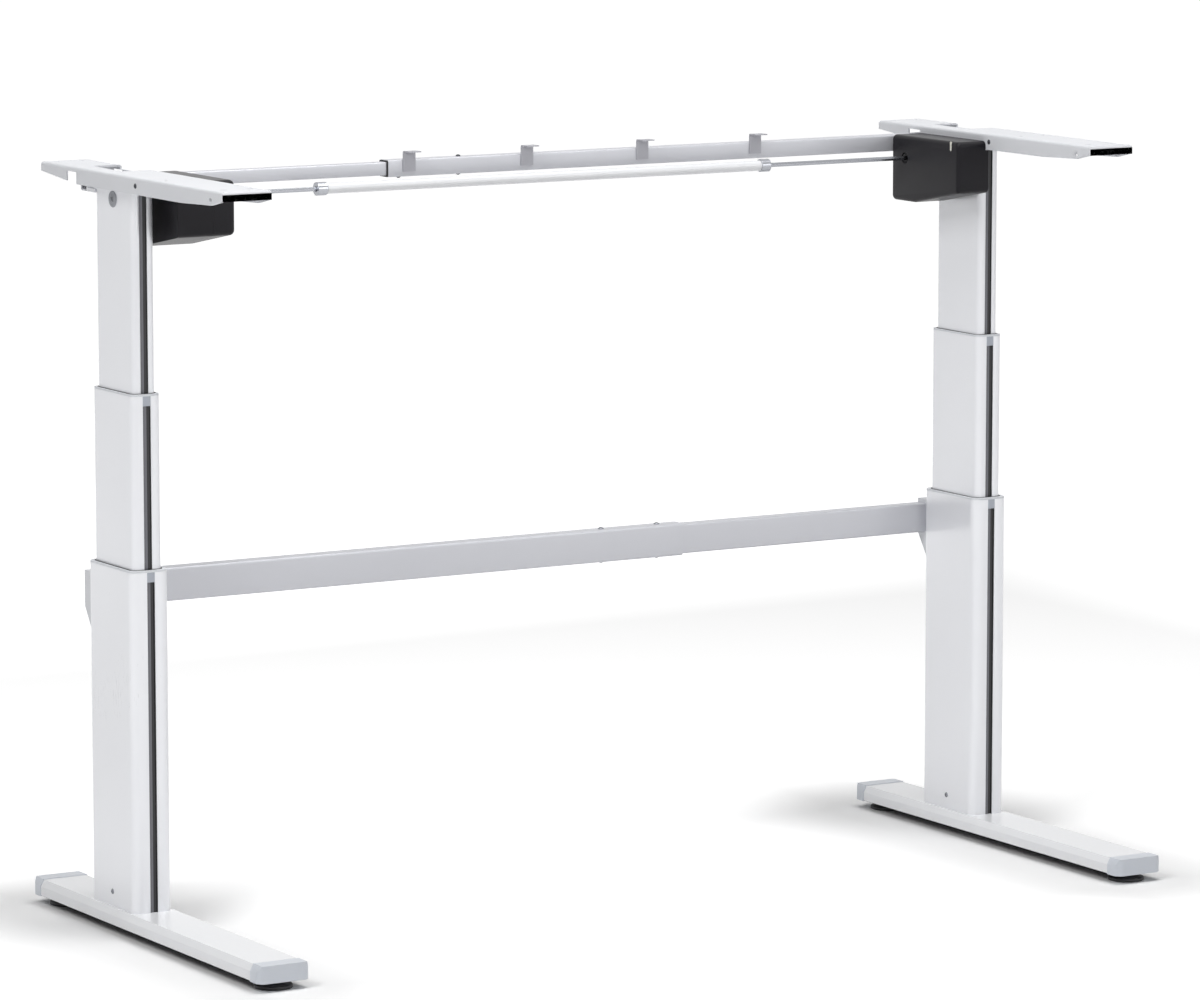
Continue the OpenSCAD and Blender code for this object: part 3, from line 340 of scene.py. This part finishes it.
# The glides. A black moulded disc on a hexagon and a threaded stud, turned by hand to level
# the frame. The stud's thread runs up into the boss in the rail.
def turned(shape, profile, at, steps=48, closed=False):
    """Turns a profile of radius and height points round an axis that `at` places."""
    rings = []
    for radius, height in profile:
        if radius == 0:
            rings.append([shape.verts.new(at(0, 0, height))] * steps)
            continue
        ring = []
        for k in range(steps):
            turn = 2 * math.pi * k / steps
            ring.append(shape.verts.new(at(radius * math.cos(turn), radius * math.sin(turn), height)))
        rings.append(ring)
    pairs = list(zip(rings, rings[1:]))
    if closed:
        pairs.append((rings[-1], rings[0]))
    for low, high in pairs:
        for k in range(steps):
            corners = [low[k - 1], low[k], high[k], high[k - 1]]
            corners = [c for i, c in enumerate(corners) if c not in corners[:i]]
            if len(corners) > 2:
                shape.faces.new(corners)


def upright(x, y):
    """Stands a turned profile on an upright axis."""
    return lambda u, v, h: Vector((x + u, y + v, h))


glide_black = coating("glide_black", (44, 44, 47), (34, 34, 37), (0.5, 0.66), grain=1800, relief=0.25)
crest_r = 0.0050
root_r = 0.0043
first_crest = 0.0162
first_root = 0.0169
thread_pitch = 0.0015
for side in ("left", "right"):
    for end in ("rear", "front"):
        node = f"{side}_{end}_glide"
        low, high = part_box(node)
        middle = (low + high) / 2
        disc_r = (high.x - low.x) / 2
        disc = []
        for share, height in ((0.0, 0.0008), (0.80, 0.0008), (0.83, 0.0), (0.94, 0.0), (0.985, 0.0006),
                              (1.0, 0.002), (1.0, 0.0042), (0.98, 0.0052), (0.92, 0.0061), (0.80, 0.0068),
                              (0.70, 0.0078), (0.62, 0.0096), (0.60, 0.0100), (0.0, 0.0100)):
            disc.append((disc_r * share, height))
        glide = bmesh.new()
        axis = upright(middle.x, middle.y)
        turned(glide, disc, axis, 72)
        turned(glide, [(0, 0.0099), (0.0080, 0.0099), (0.0080, 0.0156), (0.0074, 0.0160), (0, 0.0160)],
               axis, 6)
        thread = [(0, 0.0158)]
        for turn in range(11):
            thread.append((crest_r, first_crest + turn * thread_pitch))
            thread.append((root_r, first_root + turn * thread_pitch))
        thread.append((0, high.z))
        turned(glide, thread, axis, 32)
        place_piece(f"{node}_disc", glide, node, glide_black, 0)


# The column bottoms. A zinc block is bolted to the foot inside each outer tube, with the
# fixed lower screw standing on it. Its thread only shows with the column drawn apart.
bare_steel = coating("bare_steel", (150, 152, 156), (128, 130, 134), (0.24, 0.42), metal=0.95,
                     grain=1200, relief=0.1)
for side in ("left", "right"):
    finish_solid(f"{side}_bottom_block", f"{side}_lower_screw", bare_steel, 0.0004)


# The outer tubes. Aluminium extrusions with large round corners and a groove down the front
# and the rear, drawn through a die along their length and given a satin pale silver coat.
coated = coating("coated_extrusion", (234, 235, 238), (230, 231, 235), (0.27, 0.31), metal=0.35,
                 grain=1500, stretch=(1, 1, 0.02), relief=0.004, patch=4)
for side in ("left", "right"):
    finish_solid(f"{side}_outer_extrusion", f"{side}_outer_tube", coated, 0.0005)


# The groove strips. Black flexible channel strip, pressed into the grooves of all the tubes
# so that the wires and the die line of the groove do not show.
# The grey band down the left half of each groove strip is painted light: it stands for the lit web of the
# strip, beside the groove wall that lies black in shade.
painted_light_in = 0.0034
painted_light_half = 0.0036
for side, x in (("left", -column_x), ("right", column_x)):
    strip_black = coating(f"strip_black_{side}", (26, 26, 29), (18, 18, 21), (0.3, 0.42), grain=1500,
                          stretch=(1, 1, 0.05), relief=0.15,
                          within=((112, 112, 118), [("x", x - painted_light_in, painted_light_half)]))
    for stage in ("outer", "mid", "inner"):
        finish_solid(f"{side}_{stage}_groove_strip", f"{side}_{stage}_strips", strip_black,
                     0.0002)


# The rim collars. Light grey moulded rings that close the outer and middle tubes, with a guide
# inside the tube and a blue-grey tab that plugs the top of each groove. A black rubber lip on
# each ring wipes the tube that slides through it.
def rounded(corners, radius, steps=6):
    """A closed outline with each corner led round an arc."""
    outline = []
    count = len(corners)
    for k in range(count):
        corner = Vector(corners[k])
        back = (Vector(corners[k - 1]) - corner).normalized()
        ahead = (Vector(corners[(k + 1) % count]) - corner).normalized()
        half = back.angle(ahead) / 2
        reach = radius / math.tan(half)
        middle = corner + (back + ahead).normalized() * radius / math.sin(half)
        first = corner + back * reach - middle
        last = corner + ahead * reach - middle
        sweep = first.angle_signed(last)
        for step in range(steps + 1):
            arm = first.copy()
            arm.rotate(Matrix.Rotation(-sweep * step / steps, 2))
            outline.append(tuple(middle + arm))
    return outline


def prism(shape, outlines, at, start, end):
    """Draws a section, the first outline with the others as holes, from start to end."""
    ends = []
    for reach in (start, end):
        rings = []
        rim = []
        for outline in outlines:
            ring = [shape.verts.new(at(u, v, reach)) for u, v in outline]
            rings.append(ring)
            rim += [shape.edges.new((ring[k - 1], ring[k])) for k in range(len(ring))]
        bmesh.ops.triangle_fill(shape, use_beauty=True, use_dissolve=False, edges=rim)
        ends.append(rings)
    for first, last in zip(*ends):
        for k in range(len(first)):
            shape.faces.new((first[k - 1], first[k], last[k], last[k - 1]))


def rounded_box(low_u, low_v, high_u, high_v, radius):
    """A rectangle between two corners, with its corners rounded."""
    return rounded([(low_u, low_v), (high_u, low_v), (high_u, high_v), (low_u, high_v)], radius)


tab_half = 0.0068
tab_down = 0.0233
tab_reach = 0.02
lip_gap = 0.0006
lip_width = 0.0020
lip_sunk = 0.0006
lip_proud = 0.0004
wiper_black = coating("wiper_black", (24, 24, 26), (17, 17, 19), (0.5, 0.62), grain=1500, relief=0.15)
for side in ("left", "right"):
    for stage, corner, inset_x, inset_y in (("outer", 0.012, 0, 0), ("mid", 0.009, 0.006, 0.007)):
        node = f"{side}_{stage}_collar"
        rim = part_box(node)[1].z
        collar_grey = coating(f"collar_grey_{side}_{stage}", (222, 224, 228), (214, 217, 222), (0.36, 0.48),
                              grain=2400, relief=0.16,
                              within=((176, 181, 191),
                                      [("X", column_x, tab_half), ("Z", rim - tab_down, tab_reach)]))
        finish_solid(f"{side}_{stage}_rim", node, collar_grey, 0.0005)
        low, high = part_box(f"{side}_mid_tube")
        lip = bmesh.new()
        outlines = []
        for gap in (lip_gap + lip_width, lip_gap):
            outlines.append(rounded_box(low.x + inset_x - gap, low.y + inset_y - gap,
                                        high.x - inset_x + gap, high.y - inset_y + gap, corner + gap))
        prism(lip, outlines, lambda u, v, t: Vector((u, v, t)), rim - lip_sunk, rim + lip_proud)
        place_piece(f"{side}_{stage}_wiper", lip, node, wiper_black, 0, instead=False)


# The hangers. Folded from three-millimetre sheet behind each outer tube: a back plate, two
# tapered cheeks and a lip over the lower bar, coated like the brackets.
bracket_paint = coating("bracket_paint", (222, 223, 227), (214, 216, 220), (0.34, 0.48), grain=1100,
                        relief=0.22)
for side in ("left", "right"):
    finish_solid(f"{side}_bar_hanger", f"{side}_hanger", bracket_paint, 0.0012)


# The lower bar. A welded rectangular tube with round corners is fixed to the left hanger, and
# a smaller one slides in it from the right, so that the frame's width can be set.
def square_tube(node, wall, corner):
    """A rectangular tube along X that fills a CAD solid's box, with round corners."""
    low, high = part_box(node)
    outer = rounded_box(low.y, low.z, high.y, high.z, corner)
    inner = rounded_box(low.y + wall, low.z + wall, high.y - wall, high.z - wall,
                        max(corner - wall, 0.0005))
    shape = bmesh.new()
    prism(shape, [outer, inner], lambda u, v, t: Vector((t, u, v)), low.x, high.x)
    return shape


bar_paint = coating("bar_paint", (200, 201, 206), (192, 193, 199), (0.30, 0.42), metal=0.3, grain=1200,
                    stretch=(0.05, 1, 1), relief=0.1, patch=3)
lower_wall = 0.002
for name, node, corner in (("lower_sleeve", "lower_bar_sleeve", 0.004),
                           ("lower_slide", "lower_bar_slide", 0.003)):
    place_piece(name, square_tube(node, lower_wall, corner), node, bar_paint, 0.0003)


# The base fasteners. Zinc plated dome screws with hexagon sockets: two in each column's sides,
# four in each hanger, four clamp screws in the lower sleeve, and the foot bolts in the rail.
def screw_maker(name, paint):
    """A tree of nodes that puts a dome screw head, sized and turned, on each point."""
    tree = bpy.data.node_groups.new(name, "GeometryNodeTree")
    tree.interface.new_socket("Places", in_out="INPUT", socket_type="NodeSocketGeometry")
    for label, value in (("Socket share", 0.44), ("Socket depth", 0.8)):
        socket = tree.interface.new_socket(label, in_out="INPUT", socket_type="NodeSocketFloat")
        socket.default_value = value
    tree.interface.new_socket("Screws", in_out="OUTPUT", socket_type="NodeSocketGeometry")
    nodes = tree.nodes
    links = tree.links
    entry = nodes.new("NodeGroupInput")
    dome = nodes.new("GeometryNodeMeshUVSphere")
    dome.inputs["Segments"].default_value = 40
    dome.inputs["Rings"].default_value = 20
    dome.inputs["Radius"].default_value = 1
    key = nodes.new("GeometryNodeMeshCylinder")
    key.inputs["Vertices"].default_value = 6
    links.new(entry.outputs["Socket share"], key.inputs["Radius"])
    links.new(entry.outputs["Socket depth"], key.inputs["Depth"])
    lift = nodes.new("GeometryNodeTransform")
    lift.inputs["Translation"].default_value = (0, 0, 0.85)
    links.new(key.outputs["Mesh"], lift.inputs["Geometry"])
    cut = nodes.new("GeometryNodeMeshBoolean")
    cut.operation = "DIFFERENCE"
    links.new(dome.outputs["Mesh"], cut.inputs["Mesh 1"])
    links.new(lift.outputs["Geometry"], cut.inputs["Mesh 2"])
    size = nodes.new("GeometryNodeInputNamedAttribute")
    size.data_type = "FLOAT_VECTOR"
    size.inputs["Name"].default_value = "size"
    turn = nodes.new("GeometryNodeInputNamedAttribute")
    turn.data_type = "FLOAT_VECTOR"
    turn.inputs["Name"].default_value = "turn"
    spread = nodes.new("GeometryNodeInstanceOnPoints")
    links.new(entry.outputs["Places"], spread.inputs["Points"])
    links.new(cut.outputs["Mesh"], spread.inputs["Instance"])
    links.new(turn.outputs["Attribute"], spread.inputs["Rotation"])
    links.new(size.outputs["Attribute"], spread.inputs["Scale"])
    real = nodes.new("GeometryNodeRealizeInstances")
    links.new(spread.outputs["Instances"], real.inputs["Geometry"])
    dress = nodes.new("GeometryNodeSetMaterial")
    dress.inputs["Material"].default_value = paint
    links.new(real.outputs["Geometry"], dress.inputs["Geometry"])
    leave = nodes.new("NodeGroupOutput")
    links.new(dress.outputs["Geometry"], leave.inputs["Screws"])
    return tree


def grown(name, start, tree, values):
    """Runs a tree of nodes on a start mesh and keeps the result as a plain mesh."""
    holder = bpy.data.objects.new(name + "_start", start)
    bpy.context.scene.collection.objects.link(holder)
    grow = holder.modifiers.new("grow", "NODES")
    grow.node_group = tree
    for socket in tree.interface.items_tree:
        if socket.name in values:
            grow[socket.identifier] = values[socket.name]
    ready = holder.evaluated_get(bpy.context.evaluated_depsgraph_get())
    shape = bmesh.new()
    shape.from_mesh(ready.to_mesh())
    ready.to_mesh_clear()
    bpy.data.objects.remove(holder)
    return shape


def screws(name, node, heads, tree, paint):
    """Screw heads at given places: each has a place, a way it faces, a radius and a height."""
    start = bpy.data.meshes.new(name)
    start.from_pydata([head[0] for head in heads], [], [])
    turn = start.attributes.new("turn", "FLOAT_VECTOR", "POINT")
    size = start.attributes.new("size", "FLOAT_VECTOR", "POINT")
    for k, (place, way, radius, height) in enumerate(heads):
        turn.data[k].vector = Vector(way).to_track_quat("Z", "Y").to_euler()
        size.data[k].vector = (radius, radius, height)
    shape = grown(name, start, tree, {"Socket share": 0.44, "Socket depth": 0.8})
    place_piece(name, shape, node, paint, 0)


screw_steel = coating("screw_steel", (140, 142, 147), (122, 124, 130), (0.22, 0.36), metal=0.9,
                      grain=2200, relief=0.1)
screw_tree = screw_maker("dome_screws", screw_steel)
sheet = 0.003
side_screw = (0.0044, 0.0020)
side_screw_up = 0.024
hanger_screw = (0.0052, 0.0020)
hanger_screw_out = 0.0115
hanger_screws_up = (0.0196, 0.0784)
foot_bolt = (0.0070, 0.0050)
foot_bolt_out = 0.050
foot_bolt_down = 0.009
bar_clamp = (0.0050, 0.0030)
bar_clamp_back = (0.152, 0.043)
for side in ("left", "right"):
    tube_low, tube_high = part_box(f"{side}_outer_tube")
    hanger_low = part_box(f"{side}_hanger")[0]
    x, y, _ = (tube_low + tube_high) / 2
    heads = []
    for way, face in ((-1, tube_low.x), (1, tube_high.x)):
        heads.append(((face, y, tube_low.z + side_screw_up), (way, 0, 0), *side_screw))
        for up in hanger_screws_up:
            place = (x + way * hanger_screw_out, hanger_low.y + sheet, hanger_low.z + up)
            heads.append((place, (0, 1, 0), *hanger_screw))
        heads.append(((x, y + way * foot_bolt_out, tube_low.z - foot_bolt_down), (0, 0, -1), *foot_bolt))
    if side == "left":
        bar_low, bar_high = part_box("lower_bar_sleeve")
        bar_y = (bar_low.y + bar_high.y) / 2
        for back in bar_clamp_back:
            heads.append(((bar_high.x - back, bar_y, bar_high.z), (0, 0, 1), *bar_clamp))
            heads.append(((bar_high.x - back, bar_y, bar_low.z), (0, 0, -1), *bar_clamp))
    screws(f"{side}_base_screws", f"{side}_base_fasteners", heads, screw_tree, screw_steel)


# The middle stage. A smaller coated extrusion slides in the outer tube on plastic pads round
# its foot, and a screw tube turns on a plate inside it.
pad_plastic = coating("pad_plastic", (226, 224, 214), (219, 217, 206), (0.45, 0.6), grain=1600, relief=0.1)
for side in ("left", "right"):
    finish_solid(f"{side}_mid_extrusion", f"{side}_mid_tube", coated, 0.0005)
    finish_solid(f"{side}_mid_guides", f"{side}_mid_pads", pad_plastic, 0.0003)
    finish_solid(f"{side}_mid_screw", f"{side}_screw_tube", bare_steel, 0.0004)


# The inner stage. The smallest extrusion carries the head: a plate folded up in front inside
# the bracket, a lug behind for the upper bar, and the thrust plate of the upper screw.
screw_slack = 0.00008
for side in ("left", "right"):
    finish_solid(f"{side}_inner_extrusion", f"{side}_inner_tube", coated, 0.0004)
    finish_solid(f"{side}_inner_guides", f"{side}_inner_pads", pad_plastic, 0.0003)
    screw = copy_solid(f"{side}_top_screw")
    screw.normal_update()
    for vert in screw.verts:
        vert.co -= vert.normal * screw_slack
    place_piece(f"{side}_upper_screw", screw, f"{side}_top_screw", bare_steel, 0.0004)


# The cross bushes. A round grey moulded plug in the outer side of each inner tube carries the
# end of the cross shaft. It is turned here with a dished face.
bush_grey = coating("bush_grey", (158, 160, 165), (148, 150, 156), (0.45, 0.58), grain=2400, relief=0.15)
for side, out in (("left", -1), ("right", 1)):
    node = f"{side}_cross_bush"
    low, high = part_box(node)
    face = low.x if out < 0 else high.x
    middle = (low + high) / 2
    bush = bmesh.new()
    turned(bush, [(0.0041, -0.0037), (0.0110, -0.0037), (0.0110, -0.0015), (0.0130, -0.0015),
                  (0.0130, -0.0004), (0.0126, 0), (0.0102, 0), (0.0098, -0.0006), (0.0052, -0.0006),
                  (0.0048, -0.0002), (0.0041, -0.0002)],
           lambda u, v, h: Vector((face + out * h, middle.y + u, middle.z + v)), 64, closed=True)
    place_piece(f"{side}_bush_plug", bush, node, bush_grey, 0)


# The cross shafts. Each carries a spur gear and a bevel on its way through the column head,
# and turns the upper screw. The gears mesh with those on the hex rods.
for side in ("left", "right"):
    finish_solid(f"{side}_cross_shaft", f"{side}_gear_shaft", bare_steel, 0.0002)


# The gear covers. Black moulded plastic shells beside each column head, with round corners and
# a step that passes under the bracket's flange. The right one has a soft edge round its outer
# face and a small pale latch near the top; the left one runs on into the motor's cover.
cover_black = coating("cover_black", (22, 20, 26), (16, 15, 19), (0.30, 0.42), grain=2200, relief=0.22,
                      shine=0.18)
shaft_low, shaft_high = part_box("shaft_tube")
drive = (shaft_low + shaft_high) / 2
hole_reach = 0.012


def outer_rim(face_x):
    """A test that picks the corners of a cover's outer face and leaves its drive hole alone."""
    return lambda co: (abs(co.x - face_x) < 0.00005
                       and Vector((co.y - drive.y, co.z - drive.z)).length > hole_reach)


for side in ("left", "right"):
    node = f"{side}_gear_cover"
    cover = copy_solid(node)
    if side == "right":
        round_over(cover, outer_rim(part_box(node)[0].x), 0.0060)
    place_piece(f"{side}_gear_shell", cover, node, cover_black, 0.0006)
latch_low = (0.030, 1.190)
latch_high = (0.0345, 1.206)
latch_r = 0.0021
low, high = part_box("right_gear_cover")
latch = bmesh.new()
prism(latch, [rounded_box(*latch_low, *latch_high, latch_r)],
      lambda u, v, t: Vector((t, u, v)), low.x - 0.0003, low.x + 0.0008)
place_piece("right_cover_latch", latch, "right_gear_cover", pad_plastic, 0, instead=False)


# The motor. A black cover of the same plastic stands against the left gear cover, round a
# hollow-shaft motor that the hex rod passes through.
motor_can = coating("motor_can", (58, 58, 62), (48, 48, 52), (0.35, 0.5), metal=0.4, grain=1500, relief=0.1)
shell = copy_solid("left_motor_cover")
low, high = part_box("left_motor_cover")
round_over(shell, outer_rim(high.x), 0.0085)
place_piece("left_motor_shell", shell, "left_motor_cover", cover_black, 0.0006)
finish_solid("left_motor_body", "left_motor", motor_can, 0.0006)


# The worktop brackets. Three-millimetre sheet, punched and folded into an inverted channel
# with tapered flanges, a window over the gears and notches for the upper bar, then coated.
bend = 0.0045
nose_hole_in = 0.041
nose_hole_drop = 0.015
nose_hole_r = 0.0039
for side in ("left", "right"):
    node = f"{side}_top_bracket"
    channel = copy_solid(node)
    low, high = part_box(node)
    for vert in channel.verts:
        arm = Vector((0, vert.co.y - low.y - nose_hole_in, vert.co.z - high.z + nose_hole_drop))
        if 0.001 < arm.length < 0.005:
            vert.co += arm.normalized() * (nose_hole_r - arm.length)
    round_over(channel, lambda co: abs(co.z - high.z) < 0.00005
               and min(abs(co.x - low.x), abs(co.x - high.x)) < 0.00005, bend, 6)
    place_piece(f"{side}_channel", channel, node, bracket_paint, 0.0004)


# The head screws. Cross bolts through the bracket's flanges, screws that hold the upper bar to
# the lug behind the column, and the clamp screws of the upper tube.
screw_dark = coating("screw_dark", (72, 73, 78), (56, 57, 62), (0.25, 0.4), metal=0.7,
                     grain=2200, relief=0.1)
dark_tree = screw_maker("dark_screws", screw_dark)
head_bolt = (0.0042, 0.0018)
cross_bolt_y = 0.001
cross_bolt_down = 0.0135
bar_bolt_out = 0.012
tube_clamp = (0.0042, 0.0030)
tube_clamp_near = 0.026
tube_clamp_far = 0.138
for side, bar in (("left", "upper_bar_rod"), ("right", "upper_bar_tube")):
    sheet_low, sheet_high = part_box(f"{side}_top_bracket")
    x = (sheet_low.x + sheet_high.x) / 2
    bar_low, bar_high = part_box(bar)
    _, bar_y, bar_z = (bar_low + bar_high) / 2
    heads = []
    for way, face in ((-1, sheet_low.x), (1, sheet_high.x)):
        heads.append(((face, cross_bolt_y, sheet_high.z - cross_bolt_down), (way, 0, 0), *head_bolt))
        heads.append(((x + way * bar_bolt_out, bar_low.y - sheet, bar_z), (0, -1, 0), *head_bolt))
    if side == "right":
        heads.append(((bar_low.x + tube_clamp_near, bar_y, bar_low.z), (0, 0, -1), *tube_clamp))
        heads.append(((bar_low.x + tube_clamp_far, bar_y, bar_low.z), (0, 0, -1), *tube_clamp))
        heads.append(((bar_low.x + tube_clamp_far, bar_y, bar_high.z), (0, 0, 1), *tube_clamp))
    screws(f"{side}_head_bolts", f"{side}_head_screws", heads, dark_tree, screw_dark)


# The upper bar. A square rod tube from the left lug slides in the larger square tube that is
# fixed on the right, through a black moulded bush in the larger tube's end.
upper_wall = 0.0026
upper_corner = 0.003
for name, node in (("upper_rod", "upper_bar_rod"), ("upper_tube", "upper_bar_tube")):
    place_piece(name, square_tube(node, upper_wall, upper_corner), node, bar_paint, 0.0003)
low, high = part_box("upper_bar_tube")
bush = bmesh.new()
outlines = []
for inset, radius in ((0.0006, 0.0026), (0.0032, 0.0006)):
    outlines.append(rounded_box(low.y + inset, low.z + inset, high.y - inset, high.z - inset, radius))
prism(bush, outlines, lambda u, v, t: Vector((t, u, v)), low.x - 0.0020, low.x + 0.0010)
place_piece("upper_end_bush", bush, "upper_bar_tube", wiper_black, 0, instead=False)


# The worktop clips. Four small angles bent from two-millimetre strip and welded to the front of
# the upper tube, level with the bracket tops, each with one screw hole.
def clip_row(name, paint):
    """A tree of nodes that sets a row of equal clips along X."""
    tree = bpy.data.node_groups.new(name, "GeometryNodeTree")
    tree.interface.new_socket("Clip", in_out="INPUT", socket_type="NodeSocketGeometry")
    count = tree.interface.new_socket("Clips", in_out="INPUT", socket_type="NodeSocketInt")
    count.default_value = 4
    pitch = tree.interface.new_socket("Pitch", in_out="INPUT", socket_type="NodeSocketVector")
    pitch.default_value = (0.222, 0, 0)
    tree.interface.new_socket("Row", in_out="OUTPUT", socket_type="NodeSocketGeometry")
    nodes = tree.nodes
    links = tree.links
    entry = nodes.new("NodeGroupInput")
    row = nodes.new("GeometryNodeMeshLine")
    links.new(entry.outputs["Clips"], row.inputs["Count"])
    links.new(entry.outputs["Pitch"], row.inputs["Offset"])
    spread = nodes.new("GeometryNodeInstanceOnPoints")
    links.new(row.outputs["Mesh"], spread.inputs["Points"])
    links.new(entry.outputs["Clip"], spread.inputs["Instance"])
    real = nodes.new("GeometryNodeRealizeInstances")
    links.new(spread.outputs["Instances"], real.inputs["Geometry"])
    dress = nodes.new("GeometryNodeSetMaterial")
    dress.inputs["Material"].default_value = paint
    links.new(real.outputs["Geometry"], dress.inputs["Geometry"])
    leave = nodes.new("NodeGroupOutput")
    links.new(dress.outputs["Geometry"], leave.inputs["Row"])
    return tree


def circle(x, y, radius, steps=24):
    """A closed round outline."""
    turns = [2 * math.pi * k / steps for k in range(steps)]
    return [(x + radius * math.cos(turn), y + radius * math.sin(turn)) for turn in turns]


clip_low, clip_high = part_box("bar_clips")
clip_w = 0.023
clip_t = 0.002
clip_bend = 0.0035
bend_in = clip_bend - clip_t
clip_hole_in = 0.0121
clip_hole_r = 0.0025
bend_y = clip_high.y - clip_bend
bend_z = clip_high.z - clip_bend
clip = bmesh.new()
upright = [(clip_high.y, clip_low.z), (clip_high.y - clip_t, clip_low.z)]
for step in range(7):
    turn = math.pi / 2 * step / 6
    upright.append((bend_y + bend_in * math.cos(turn), bend_z + bend_in * math.sin(turn)))
for step in range(6, -1, -1):
    turn = math.pi / 2 * step / 6
    upright.append((bend_y + clip_bend * math.cos(turn), bend_z + clip_bend * math.sin(turn)))
prism(clip, [upright], lambda u, v, t: Vector((t, u, v)), clip_low.x, clip_low.x + clip_w)
tab = rounded([(clip_low.x, bend_y + 0.0002), (clip_low.x, clip_low.y), (clip_low.x + clip_w, clip_low.y),
               (clip_low.x + clip_w, bend_y + 0.0002)], 0.0001, 2)
hole = circle(clip_low.x + clip_w / 2, clip_high.y - clip_hole_in, clip_hole_r)
prism(clip, [tab, hole], lambda u, v, t: Vector((u, v, t)), clip_high.z - clip_t, clip_high.z)
bmesh.ops.recalc_face_normals(clip, faces=clip.faces)
clip_mesh = bpy.data.meshes.new("clip")
clip.to_mesh(clip_mesh)
clip.free()
clip_paint = coating("clip_paint", (178, 178, 184), (168, 168, 175), (0.34, 0.46), metal=0.2, grain=1300,
                     relief=0.15)
row_tree = clip_row("clip_row", clip_paint)
row_shape = grown("clips", clip_mesh, row_tree, {"Clips": 4})
place_piece("worktop_clips", row_shape, "bar_clips", clip_paint, 0.0002)


# The hex rods. Bright drawn bar of seven millimetres across the flats, one through each gear
# cover, with the drive gear fixed on its outer end.
# Within about a tenth of a metre of each column's middle, where it runs through the column head and the
# gear cover, the bright rod is painted near-black: painted shade, so that the drive hole in the cover reads
# dark.
painted_shade_reach = 0.0992
rod_chrome = coating("rod_chrome", (168, 170, 175), (150, 152, 158), (0.12, 0.24), metal=1.0,
                     grain=1500, stretch=(0.03, 1, 1), relief=0.06,
                     within=((24, 24, 26), [("X", column_x, painted_shade_reach)]))
for side in ("left", "right"):
    finish_solid(f"{side}_hex_rod", f"{side}_drive_rod", rod_chrome, 0.0003)


# The shaft tube and its collars. A glossy white tube joins the two hex rods. A bright clamp
# collar on each end grips the left rod and guides the right one.
tube_white = coating("tube_white", (236, 237, 239), (231, 232, 235), (0.18, 0.28), grain=1500,
                     stretch=(0.05, 1, 1), relief=0.04)
shaft_r = (shaft_high.z - shaft_low.z) / 2
shaft_len = shaft_high.x - shaft_low.x
shaft_bore = shaft_r - 0.0015
shaft_edge = 0.0004
shaft = bmesh.new()
turned(shaft, [(shaft_bore, 0), (shaft_r - shaft_edge, 0), (shaft_r, shaft_edge),
               (shaft_r, shaft_len - shaft_edge), (shaft_r - shaft_edge, shaft_len),
               (shaft_bore, shaft_len)],
       lambda u, v, h: Vector((shaft_low.x + h, drive.y + u, drive.z + v)), 64, closed=True)
place_piece("white_shaft", shaft, "shaft_tube", tube_white, 0)
collar_chrome = coating("collar_chrome", (176, 178, 183), (158, 160, 166), (0.16, 0.26), metal=0.9,
                        grain=1800, relief=0.08)
finish_solid("clamp_collars", "shaft_collars", collar_chrome, 0.0008)
